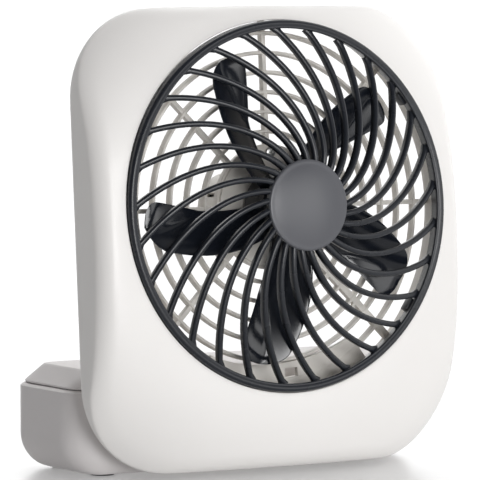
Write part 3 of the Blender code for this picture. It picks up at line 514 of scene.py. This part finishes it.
def add_rib(bm, turn):
    """One swept rib."""
    section = rib_section()
    step = 0.05
    start, end = HUB_RADIUS - RIB_OVERLAP, RING_INNER + 0.8
    rows = []
    for i in range(RIB_STEPS + 1):
        radius = start + (end - start) * i / RIB_STEPS
        here = rib_point(radius, turn)
        ahead = rib_point(radius + step, turn)
        run = ahead - here
        run.z = 0
        run.normalize()
        side = Vector((-run.y, run.x, 0))
        share = (radius - HUB_RADIUS) / (RING_INNER - HUB_RADIUS)
        raised = 1.4 - 1.0 * share ** 6 - 0.8 * (1 - share) ** 12
        deep = 1.0 if share < 0.9 else 1.0 - 1.2 * (share - 0.9)
        wide = 1.0 + 0.35 * max((radius - RING_INNER + 1.6) / 1.6, 0.0) ** 2
        row = []
        for across, forward in section:
            row.append(here + side * across * wide + Vector((0, 0, forward * deep + raised)))
        rows.append(row)
    close_ends(bm, skin(bm, rows))


def rib_point(radius, turn):
    """Centre of a rib's crest."""
    angle = turn + rib_angle(radius)
    return Vector((radius * math.cos(angle), radius * math.sin(angle), rib_forward(radius)))


def make_front_grille():
    """Ring with its inner lip, snap tabs, the ribs and the hub disc."""
    bm = bmesh.new()
    ring = [(RING_OUTER - 0.8, -4.8), (RING_OUTER, -3),
            *arc(RING_OUTER - 1.5, 0.3, 1.5, 0, 90, 8),
            (RING_INNER + 1.1, 1.45), *arc(RING_INNER + 0.6, 0.75, 0.6, 75, 190, 6),
            (RING_INNER + 0.2, -0.6), (RING_INNER + 1.2, -4.8)]
    lathe(bm, ring, HEAD_SEGMENTS)
    top, under = HUB_FORWARD - 0.75, HUB_FORWARD - 3.4
    disc = [(AXIS, top), (HUB_RADIUS - 0.5, top), (HUB_RADIUS, HUB_FORWARD - 1.2),
            (HUB_RADIUS, HUB_FORWARD - 2.6), (HUB_RADIUS - 1.0, under), (AXIS, under)]
    capped_lathe(bm, disc, 96)
    for k in range(RIB_COUNT):
        add_rib(bm, RIB_FIRST + k * TAU / RIB_COUNT)
    for degrees in TAB_ANGLES:
        block(bm, (RING_INNER - 0.6, -2.6, -5.6), (RING_INNER + 1.6, 2.6, -1.4),
              Matrix.Rotation(math.radians(degrees), 4, "Z"), 0.3)
    obj = to_object("grille", bm, FAN, MATS["charcoal"])
    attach(obj, "head")
    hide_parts("front_grille")


def make_cap():
    """Plain domed cap with a rolled edge."""
    base = HUB_FORWARD - 0.4
    bm = bmesh.new()
    profile = [(AXIS, base + CAP_RISE)]
    for i in range(1, 15):
        radius = DOME_RADIUS * i / 14
        profile.append((radius, base + CAP_RISE - CAP_FALL * (radius / DOME_RADIUS) ** 2.1))
    profile += [*arc(CAP_RADIUS - 1.0, base + 0.3, 1.0, 62, 0, 5), (CAP_RADIUS, base),
                (CAP_RADIUS - 0.6, base - 0.1), (AXIS, base - 0.1)]
    capped_lathe(bm, profile, 128)
    obj = to_object("cap", bm, FAN, MATS["cap"])
    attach(obj, "head")
    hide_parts("grille_cap")


def bar_profile(radius, half):
    """Rounded bar of the rear grille."""
    front, back = -GRILLE_Y, -GRILLE_Y - BAR_DEPTH
    return [(radius - half, back), (radius - half, front - 0.6), (radius - half * 0.55, front),
            (radius + half * 0.55, front), (radius + half, front - 0.6), (radius + half, back)]


def pan_row(inset, depth, count):
    """Row round the recess in the back of the head."""
    row = []
    for i in range(count):
        u, v = rect_ray(HEAD_WIDTH / 2 - 2.8 - inset, HEAD_HEIGHT / 2 - 2.7 - inset,
                        PAN_CORNER - inset, TAU * i / count)
        row.append((u, FAN_Y + depth, HEAD_Z + v))
    return row


def make_rear_shell():
    """Duct wall, recessed plate and back flange."""
    count = HEAD_SEGMENTS
    back = HEAD_DEPTH
    duct = [circle_row(OPENING + out, y, count)
            for out, y in ((0, DUCT_FRONT + 0.2), (0.5, DUCT_FRONT), (1, DUCT_FRONT + 0.2),
                           (1, GRILLE_Y))]
    flange = [pan_row(0, GRILLE_Y, count), pan_row(0, FLANGE_FRONT, count),
              outline_row(2.5, FLANGE_FRONT, count), outline_row(2.5, back - 0.4, count),
              outline_row(2.8, back, count)]
    recess = [pan_row(inset, y, count)
              for inset, y in ((0.2, back), (0.7, back - 0.15), (1.0, back - 0.5),
                               (1.0, PLATE_BACK + 0.9), (1.25, PLATE_BACK + 0.25),
                               (1.4, PLATE_BACK))]
    edge = [circle_row(OPENING + 0.05, PLATE_BACK, count),
            circle_row(OPENING, PLATE_BACK - 0.1, count)]
    bm = bmesh.new()
    skin(bm, [*duct, *flange, *recess, *edge], along=True)
    obj = to_object("rear_shell", bm, HEAD, MATS["light"])
    wall = FAN_Y + back
    cut(obj, [tool_cylinder(3.0, (x, wall - 1.5, z), (x, wall + 1, z), HEAD)
              for x, z in screw_places()])
    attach(obj, "head")
    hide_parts("rear_housing")


def spoke_turn(index):
    """Turn of a spoke about the fan axis."""
    return Matrix.Rotation(TAU * index / SPOKE_COUNT, 4, "Z")


def add_wire_channel(bm, start, end):
    """Narrow channel for the motor leads, with two cross ties."""
    front = -GRILLE_Y
    turn = spoke_turn(CHANNEL_SPOKE)
    block(bm, (start, -1.4, front - 1.2), (end, 1.4, front - 0.2), turn, 0.25)
    for side in (-1, 1):
        block(bm, (start, side * 1.2 - 0.25, front - 2.8), (end, side * 1.2 + 0.25, front - 0.6),
              turn, 0.1)
    for x, reach in ((39, 3.4), (56, 3.8)):
        block(bm, (x - 0.7, -reach, front - 1.6), (x + 0.7, reach, front - 0.3), turn, 0.2)


def make_motor_leads():
    """Two leads that lie in the wire channel."""
    front = -GRILLE_Y
    for name, key, side in (("motor_lead_red", "red", -1), ("motor_lead_black", "black", 1)):
        wire = bmesh.new()
        block(wire, (FLANGE_RADIUS - 6, side * 0.5 - 0.4, front - 2.3),
              (OPENING - 1, side * 0.5 + 0.4, front - 1.5), spoke_turn(CHANNEL_SPOKE), 0.3)
        lead = to_object(name + "_wire", wire, FAN, MATS[key])
        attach(lead, "head")
        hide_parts(name)


def make_rear_grille():
    """Rings, spokes and wire channel of the rear grille."""
    bm = bmesh.new()
    for i in range(RING_COUNT):
        lathe(bm, bar_profile(REAR_RING - i * REAR_PITCH, 0.8), 144)
    front = -GRILLE_Y
    start, end = FLANGE_RADIUS - 1, OPENING + 0.4
    for i in range(SPOKE_COUNT):
        if i == CHANNEL_SPOKE:
            add_wire_channel(bm, start, end)
        else:
            block(bm, (start, -0.95, front - BAR_DEPTH - 0.4), (end, 0.95, front - 0.35),
                  spoke_turn(i), 0.3)
    make_motor_leads()
    obj = to_object("rear_grille", bm, FAN, MATS["light"])
    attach(obj, "head")
    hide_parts("rear_grille")


def make_web():
    """Panel low in the rear opening, with its clip and slot."""
    reach = OPENING - 0.1
    sweep = WEB_END - WEB_START
    outline = []
    for i in range(41):
        turn = math.radians(-90 + WEB_START + sweep * i / 40)
        outline.append((reach * math.cos(turn), reach * math.sin(turn)))
    for i in range(21):
        turn = math.radians(-90 + WEB_END - sweep * i / 20)
        inner = 62.5 + 3.0 * abs(math.sin(turn * 2 - 0.3)) ** 2
        outline.append((inner * math.cos(turn), inner * math.sin(turn)))
    bm = bmesh.new()
    rows = [[(x, y, -GRILLE_Y - depth) for x, y in outline] for depth in (2.2, 0.1)]
    close_ends(bm, skin(bm, rows))
    back, front = -GRILLE_Y - 1, -GRILLE_Y + 3.2
    clip_left, clip_right = 2.6, 11.4
    for x in (clip_left, clip_right):
        block(bm, (x - 0.6, -70.5, back), (x + 0.6, -63, front), None, 0.2)
    block(bm, (clip_left, -71.1, back), (clip_right, -70, front), None, 0.2)
    obj = to_object("rear_web", bm, FAN, MATS["light"])
    cut(obj, [tool_box((4.0, -68.5, -GRILLE_Y - 4), (10.0, -64.5, -GRILLE_Y + 1), FAN,
                       None, 0.5)])
    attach(obj, "head")
    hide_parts("rear_grille")


def make_cup():
    """Motor flange and cup with its vents."""
    front = -GRILLE_Y
    inner = CUP_RADIUS - 2
    profile = [(FLANGE_RADIUS, front - 0.4), (FLANGE_RADIUS, front - 2.6),
               (FLANGE_RADIUS - 0.4, front - 3),
               *arc(CUP_RADIUS + 1.6, front - 4.6, 1.6, 90, 180, 5),
               *arc(inner, 2 - CUP_END, 2, 0, -90, 6),
               (3.2, -CUP_END), (3.0, 0.3 - CUP_END), (3.0, 2 - CUP_END), (inner, 2 - CUP_END),
               (inner, front), (FLANGE_RADIUS - 0.4, front)]
    bm = bmesh.new()
    lathe(bm, profile, 128)
    obj = to_object("motor_cup", bm, FAN, MATS["light"])
    tools = []
    for i in range(VENT_COUNT):
        turn = Matrix.Rotation(TAU * (i + 0.5) / VENT_COUNT, 4, "Z")
        tools.append(tool_box((CUP_RADIUS - 4, -0.9, 5 - CUP_END), (CUP_RADIUS + 1, 0.9, front - 8),
                              FAN, turn, 0.4))
    for side in (-1, 1):
        y = side * FLANGE_SCREW
        tools.append(tool_cylinder(1.55, (0, y, front - 6), (0, y, front + 1), FAN))
    cut(obj, tools)
    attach(obj, "head")
    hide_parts("rear_grille", "motor_cup")


def make_lugs():
    """Two hinge lugs on the back wall with fillets at their roots."""
    wall = FAN_Y + PLATE_BACK
    soft = 0.4
    for name, side in (("left", -1), ("right", 1)):
        outline = [(wall - 1.2, -7.0), (wall + 0.2, -6.6), (wall + 1.6, -5.2)]
        for i in range(33):
            turn = math.radians(-112 + 224 * i / 32)
            outline.append((LUG_RADIUS * math.cos(turn), LUG_RADIUS * math.sin(turn)))
        outline += [(wall + 1.6, 5.2), (wall + 0.2, 6.6), (wall - 1.2, 7.0)]
        low = side * LUG_CENTRE - LUG_WIDTH / 2
        high = low + LUG_WIDTH
        rows = []
        for x, shrink in ((low, soft), (low + soft, 0.0), (high - soft, 0.0), (high, soft)):
            scale = 1 - shrink / LUG_RADIUS
            rows.append([(x, y if y < wall + 0.2 else y * scale, z * scale) for y, z in outline])
        bm = bmesh.new()
        close_ends(bm, skin(bm, rows))
        obj = to_object(f"hinge_lug_{name}", bm, HEAD, MATS["light"])
        cut(obj, [tool_cylinder(PIN_RADIUS + 0.1, (side * LUG_CENTRE - LUG_WIDTH, 0, 0),
                                (side * LUG_CENTRE + LUG_WIDTH, 0, 0), HEAD)])
        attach(obj, "head")
        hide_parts("rear_housing")


def screw_places():
    """(x, z) of the screws in the back of the head."""
    places = []
    for i in range(1, 5):
        low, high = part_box(f"housing_screw_{i}")
        middle = HEAD.inverted() @ ((Vector(low) + Vector(high)) / 2)
        places.append((middle.x / MM, middle.z / MM))
    return places


def make_screw(node, body, place, radius, height, length):
    """Cross-head screw in place of its CAD node: head up local z, underside at 0."""
    bm = bmesh.new()
    profile = [(AXIS, height)]
    for i in range(1, 7):
        turn = math.pi / 2 * i / 6
        profile.append((radius * math.sin(turn), height * (0.45 + 0.55 * math.cos(turn))))
    shank = radius * 0.5
    profile += [(radius, 0.05), (radius - 0.05, 0), (shank, 0), (shank, -length + 0.6),
                (radius * 0.3, -length), (AXIS, -length)]
    capped_lathe(bm, profile, 40)
    obj = to_object(f"{node}_fine", bm, place, MATS["steel"])
    half, thin = radius * 0.56, radius * 0.12
    tools = [tool_box((-half, -thin, height * 0.45), (half, thin, height + 1), place),
             tool_box((-thin, -half, height * 0.45), (thin, half, height + 1), place)]
    cut(obj, tools)
    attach(obj, body)
    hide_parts(node)


def make_screws():
    """Screws in the back of the case and in the motor flange."""
    wall = FAN_Y + HEAD_DEPTH - 1.5 + 0.3
    to_back = Matrix.Rotation(-math.pi / 2, 4, "X")
    for i, (x, z) in enumerate(screw_places(), start=1):
        place = HEAD @ Matrix.Translation(Vector((x, wall, z)) * MM) @ to_back
        make_screw(f"housing_screw_{i}", "head", place, 2.6, 1.1, 4.8)
    for name, side in (("top", 1), ("low", -1)):
        place = FAN @ Matrix.Translation(Vector((0, side * FLANGE_SCREW, -GRILLE_Y + 1.4)) * MM)
        make_screw(f"motor_screw_{name}", "head", place, 2.2, 1.1, 5)


# ---------------------------------------------------------------- impeller

def blade_row(radius, taper):
    """Closed section of a blade at a radius, flattened beyond a crease on its trailing side."""
    share = (radius - BLADE_ROOT) / (BLADE_TIP - BLADE_ROOT)
    chord = (12 + 9 * math.sin(math.pi * (share * 0.5 + 0.12))) * taper
    pitch = math.radians(40 - 14 * share)
    tip_pitch = math.radians(2)
    lean = math.radians(16 * (1 - share) ** 1.4 - 2.2 * share ** 2)
    height = -2.5 - 3.1 * share
    thick = (2.4 - 1.3 * share) * (0.4 + 0.6 * taper)
    crease = -0.47 + 0.54 * min(max((share - 0.46) / 0.46, 0.0), 1.0) ** 0.8
    places = [-0.5 + (crease + 0.5) * i / 5 for i in range(5)]
    places += [crease + (0.5 - crease) * math.sin(math.pi / 2 * i / 9) for i in range(10)]
    upper, lower = [], []
    for along in places:
        beyond = min(along - crease, 0.0)
        main = along - beyond
        if main > 0:
            main *= 1 + 0.16 * math.sin(math.pi * share)
        across = chord * (main * math.cos(pitch) + beyond * math.cos(tip_pitch))
        rise = chord * (main * math.sin(pitch) + beyond * math.sin(tip_pitch))
        turn = lean + across / radius
        camber = (0.25 - along * along) * 1.6
        half = thick * 0.5 * math.sqrt(max(1 - (2 * along) ** 2, 0.0)) + 0.02
        z = height + rise - camber
        upper.append((radius * math.cos(turn), radius * math.sin(turn), z + half))
        lower.append((radius * math.cos(turn), radius * math.sin(turn), z - half))
    return upper + lower[::-1]


def make_impeller():
    """Hub and five glossy blades with rounded tips."""
    bm = bmesh.new()
    inner, skirt, boss, bore = IMPELLER_HUB - 2, -10.6, 4, 1.3
    hub = [(AXIS, 7.2), (6, 6.9), (9, 6.3), (11.5, 5.0), (13.2, 3.4), (IMPELLER_HUB, 1.4),
           (IMPELLER_HUB, skirt + 0.2), (IMPELLER_HUB - 0.3, skirt), (IMPELLER_HUB - 1.8, skirt),
           (inner, skirt + 0.2), (inner, 0), (boss, 2.2), (boss, -9.4), (bore, -9.4), (bore, 4),
           (AXIS, 4)]
    capped_lathe(bm, hub, 80)
    for k in range(BLADE_COUNT):
        part = bmesh.new()
        rows = []
        for i in range(BLADE_STEPS + 1):
            share = math.sin(math.pi / 2 * i / BLADE_STEPS)
            radius = BLADE_ROOT + (BLADE_TIP - BLADE_ROOT) * share
            edge = max((share - (1 - TIP_ROUND)) / TIP_ROUND, 0.0)
            rows.append(blade_row(radius, math.sqrt(max(1 - edge ** 2.8, 0.0)) * 0.97 + 0.03))
        close_ends(part, skin(part, rows))
        part.transform(Matrix.Rotation(FIRST_BLADE + k * TAU / BLADE_COUNT, 4, "Z"))
        merge(bm, part)
    obj = to_object("impeller", bm, FAN, MATS["blade"], 50)
    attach(obj, "impeller")
    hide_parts("fan_impeller")


# ---------------------------------------------------------------- base

def node_box(node):
    """Lowest and highest corner of a CAD node, in millimetres."""
    low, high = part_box(node)
    return Vector(low) / MM, Vector(high) / MM


BASE_LOW, BASE_HIGH = node_box("base_tub")
BASE_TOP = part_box("base_cover")[1][2] / MM
SEAM = BASE_HIGH.z
BASE_CORNER = 16.0
BOTTOM_INSET, BOTTOM_FRONT, BOTTOM_RISE = 13.0, 8.0, 14.0   # oval rounding under the base
HINGE_Y = HINGE.y / MM
HINGE_Z = HINGE.z / MM


def base_row(inset, z, front=None, count=200):
    """Row round the base outline, moved in by inset (or by front at the front), at a height."""
    low = BASE_LOW.y + (inset if front is None else front)
    high = BASE_HIGH.y - inset
    half_v = (high - low) / 2
    middle = (high + low) / 2
    corner = min(max(BASE_CORNER - inset, 3.0), half_v * 0.98)
    row = []
    for i in range(count):
        u, v = rect_ray(BASE_HIGH.x - inset, half_v, corner, TAU * i / count)
        row.append((u, middle + v, z))
    return row


def slot_tools(extra):
    """Cutters for the two hinge slots, longer to the back by extra."""
    reach = LUG_RADIUS + 0.7
    tools = []
    for side in (-1, 1):
        middle = side * LUG_CENTRE
        tools.append(tool_box((middle - SLOT_WIDTH / 2, BASE_LOW.y - 2, HINGE_Z - reach),
                              (middle + SLOT_WIDTH / 2, HINGE_Y + reach + extra, BASE_TOP + 2), ROW))
    return tools


def bottom_row(turn, wall):
    """Row of the oval rounding under the base, from the floor at 0 to the wall at 90 degrees."""
    share = 1 - math.sin(turn)
    return base_row(wall + (BOTTOM_INSET - wall) * share,
                    BASE_LOW.z + wall + (BOTTOM_RISE - wall) * (1 - math.cos(turn)),
                    wall + (BOTTOM_FRONT - wall) * share)


def tub_tools():
    """Cutters for the battery door, the feet, the switch and the socket."""
    low, high = node_box("battery_door")
    gap = 0.35
    tools = [tool_box((low.x - gap, low.y - gap, -2), (high.x + gap, BASE_HIGH.y + 2, high.z + gap),
                      ROW)]
    for i in range(1, 5):
        low, high = node_box(f"foot_{i}")
        x, y = (low.x + high.x) / 2, (low.y + high.y) / 2
        tools.append(tool_cylinder(5.3, (x, y, -1), (x, y, 2.4), ROW))
    low, high = node_box("switch_knob")
    x, z = (low.x + high.x) / 2, (low.z + high.z) / 2
    tools.append(tool_box((x - 8, BASE_HIGH.y - 4, z - 3), (x + 8, BASE_HIGH.y + 2, z + 3), ROW,
                          None, 0.6))
    low, high = node_box("jack_pin")
    y, z = (low.y + high.y) / 2, (low.z + high.z) / 2
    tools.append(tool_cylinder(4.6, (BASE_HIGH.x - 4, y, z), (BASE_HIGH.x + 2, y, z), ROW))
    return tools


def make_tub():
    """Lower shell: oval foot, upright walls and a bevelled rim under the seam."""
    wall = 2.4
    rows = [bottom_row(math.pi / 2 * k / 14, 0) for k in range(15)]
    rows += [base_row(0, SEAM - 1.3), base_row(0.12, SEAM - 0.95), base_row(1.4, SEAM - 0.1),
             base_row(1.6, SEAM), base_row(wall, SEAM)]
    rows += [bottom_row(math.pi / 2 * k / 4, wall) for k in (4, 3, 2, 1, 0)]
    bm = bmesh.new()
    close_ends(bm, skin(bm, rows))
    obj = to_object("tub", bm, ROW, MATS["grey"])
    cut(obj, [*slot_tools(0), *tub_tools()])
    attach(obj, "base")
    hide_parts("base_tub")


def make_cover():
    """Upper shell: straight bevel at the sides and back, round front edge about the hinge."""
    low = SEAM + 0.3
    foot, slope = 1.9, 9.5
    edge = low + 0.8
    rows = [base_row(foot + 0.3, low, 1.2), base_row(foot, low + 0.25, 0.9),
            base_row(foot, edge, 0.4)]
    steps = 12
    for i in range(1, steps + 1):
        turn = math.radians(10 + 80 * i / steps)
        front = HINGE_Y - 6.4 * math.cos(turn) - BASE_LOW.y
        height = HINGE_Z + (BASE_TOP - HINGE_Z) * math.sin(turn)
        share = (height - edge) / (BASE_TOP - edge)
        ease = 0.5 * max(share - 0.93, 0) * (slope - foot)
        rows.append(base_row(foot + (slope - foot) * share + ease, height, front))
    rows.append(base_row(slope + 1.2, BASE_TOP, HINGE_Y - BASE_LOW.y + 1.5))
    inner = [base_row(11.3, BASE_TOP - 2.2, 9.4), base_row(5.9, low + 1.6, 2.8),
             base_row(4.2, low, 2.2)]
    bm = bmesh.new()
    close_ends(bm, skin(bm, [*reversed(rows), *reversed(inner)]))
    obj = to_object("cover", bm, ROW, MATS["grey"])
    cut(obj, slot_tools(0.6))
    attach(obj, "base")
    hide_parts("base_cover")


def make_door():
    """Battery door that follows the rounding of the base, with a grooved thumb grip."""
    low, high = node_box("battery_door")
    wall = 1.8
    middle_y, middle_z = BASE_HIGH.y - BOTTOM_INSET, BASE_LOW.z + BOTTOM_RISE
    outline = [(low.y, low.z + wall), (low.y, low.z)]
    for thick, order in ((0, range(17)), (wall, range(16, -1, -1))):
        rise = BOTTOM_RISE - thick
        last = math.acos((middle_z - high.z) / rise)
        for i in order:
            turn = last * i / 16
            outline.append((middle_y + (BOTTOM_INSET - thick) * math.sin(turn),
                            middle_z - rise * math.cos(turn)))
    rows = [[(x, y, z) for y, z in outline] for x in (low.x, high.x)]
    bm = bmesh.new()
    close_ends(bm, skin(bm, rows))
    obj = to_object("door", bm, ROW, MATS["grey"])
    tools = []
    for i in range(5):
        y = low.y + 16 + 2.4 * i
        tools.append(tool_box((-13, y, low.z - 2), (13, y + 1.1, low.z + 0.6), ROW))
    cut(obj, tools)
    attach(obj, "door")
    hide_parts("battery_door")


def make_knob():
    """Ribbed slide knob."""
    low, high = node_box("switch_knob")
    bm = bmesh.new()
    block(bm, (low.x, high.y - 2.6, low.z), (high.x, high.y - 0.5, high.z), None, 0.45)
    for i in range(4):
        x = low.x + 1.3 + 1.4 * i
        block(bm, (x - 0.35, high.y - 0.9, low.z + 0.5), (x + 0.35, high.y, high.z - 0.5),
              None, 0.15)
    block(bm, (low.x + 1.2, low.y, low.z + 0.9), (high.x - 1.2, high.y - 2, high.z - 0.9),
          None, 0.1)
    obj = to_object("knob", bm, ROW, MATS["charcoal"])
    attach(obj, "switch")
    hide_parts("switch_knob")


def make_feet():
    """Rubber feet with a rounded edge and a moulded ring."""
    for i in range(1, 5):
        low, high = node_box(f"foot_{i}")
        radius, soft = (high.x - low.x) / 2, 0.6
        middle = Vector(((low.x + high.x) / 2, (low.y + high.y) / 2, 0))
        place = Matrix.Translation(middle * MM)
        bm = bmesh.new()
        profile = [(AXIS, high.z), (radius, high.z), (radius, soft),
                   *arc(radius - soft, soft, soft, -10, -90, 4), (radius - 1.4, 0),
                   (radius - 1.7, 0.3), (radius - 2.1, 0.3), (radius - 2.4, 0), (AXIS, 0)]
        capped_lathe(bm, profile, 48)
        obj = to_object(f"foot_{i}_fine", bm, place, MATS["rubber"])
        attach(obj, "base")
        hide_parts(f"foot_{i}")


def dress_cad_nodes():
    """Give the CAD nodes that stay their materials."""
    finish = {"steel": "steel", "brass": "brass", "copper": "copper", "cell": "cell",
              "black": "black", "lead_red": "red", "lead_black": "black", "rubber": "rubber",
              "light_shell": "light"}
    slots = {s["node"]: s["material_slot"] for s in frame["record"]["subparts"]}
    for name, obj in frame["nodes"].items():
        mat = MATS.get(finish.get(slots[name], ""))
        if mat is None:
            continue
        obj.data.materials.clear()
        obj.data.materials.append(mat)


# ---------------------------------------------------------------- stage

def make_stage():
    """Pale floor with a faint glow of its own."""
    reach = 20000
    bm = bmesh.new()
    bmesh.ops.create_grid(bm, x_segments=1, y_segments=1, size=reach)
    mat = surface("floor", (0.45, 0.45, 0.45), 0.26, spread=0.02, grain=300, relief=0.0,
                  mottle=0.004)
    shader = mat.node_tree.nodes["Principled BSDF"]
    shader.inputs["IOR"].default_value = 2.1
    shader.inputs["Emission Color"].default_value = (1, 1, 1, 1)
    shader.inputs["Emission Strength"].default_value = 0.2
    obj = to_object("floor", bm, ROW, mat)


def area_light(name, location, size, power, target):
    """Soft rectangular light aimed at a point."""
    data = bpy.data.lights.new(name, "AREA")
    data.shape = "RECTANGLE"
    data.size, data.size_y = size
    data.energy = power
    obj = bpy.data.objects.new(name, data)
    obj.location = location
    obj.rotation_euler = (Vector(target) - Vector(location)).to_track_quat("-Z", "Y").to_euler()
    bpy.context.scene.collection.objects.link(obj)


def make_world():
    """White studio surroundings, bright on the far side and dim on the near left."""
    world = bpy.data.worlds.new("studio")
    bpy.context.scene.world = world
    world.use_nodes = True
    tree = world.node_tree
    back = tree.nodes["Background"]
    back.inputs["Strength"].default_value = 1.6
    coords = tree.nodes.new("ShaderNodeTexCoord")
    mapping = tree.nodes.new("ShaderNodeMapping")
    mapping.inputs["Location"].default_value = (0.5, 0, 0)
    mapping.inputs["Rotation"].default_value = (0, 0, math.radians(-40))
    mapping.inputs["Scale"].default_value = (0.5, 0.5, 0.5)
    tree.links.new(coords.outputs["Generated"], mapping.inputs["Vector"])
    split = tree.nodes.new("ShaderNodeSeparateXYZ")
    tree.links.new(mapping.outputs["Vector"], split.inputs["Vector"])
    shade = ramp(tree, split.outputs["X"], 0.45, 0.85, (0.05, 0.05, 0.052), (1.0, 1.0, 1.0))
    tree.links.new(shade.outputs["Color"], back.inputs["Color"])


def make_lights():
    """Broad soft lights: a weak key at the right, a wide one in front and one above."""
    middle = (0, 0, 0.09)
    area_light("key", (0.95, -1.8, 0.3), (1.1, 1.0), 9, middle)
    area_light("front", (-0.3, -2.0, 0.3), (1.0, 0.9), 26, middle)
    area_light("top", (0.2, 0.7, 1.5), (1.0, 1.0), 6, middle)
    bpy.context.scene.view_settings.view_transform = "Standard"


def make_camera():
    """Long lens from the front left, a little above the middle of the head."""
    yaw, pitch = math.radians(31.808), math.radians(3.856)
    distance = 1.660
    off_right, off_up = 0.01942, 0.01353       # where the view is centred, off the ring's middle
    right = Vector((math.cos(yaw), -math.sin(yaw), 0))
    ahead = Vector((math.sin(yaw), math.cos(yaw), 0))
    up = ahead * math.sin(pitch) + Vector((0, 0, math.cos(pitch)))
    back = Vector((0, 0, math.sin(pitch))) - ahead * math.cos(pitch)
    ring = FAN.translation
    data = bpy.data.cameras.new("camera")
    data.sensor_width = 36
    data.lens = 314.3
    data.clip_end = 100
    obj = bpy.data.objects.new("camera", data)
    turn = Matrix((right, up, back)).transposed().to_4x4()
    place = ring - right * off_right - up * off_up + back * distance
    obj.matrix_world = Matrix.Translation(place) @ turn
    bpy.context.scene.collection.objects.link(obj)
    bpy.context.scene.camera = obj


MATS = make_materials()
make_front_housing()
make_front_grille()
make_cap()
make_rear_shell()
make_rear_grille()
make_web()
make_cup()
make_lugs()
make_screws()
make_impeller()
make_tub()
make_cover()
make_door()
make_knob()
make_feet()
dress_cad_nodes()
make_stage()
make_world()
make_lights()
make_camera()

bpy.context.view_layer.update()
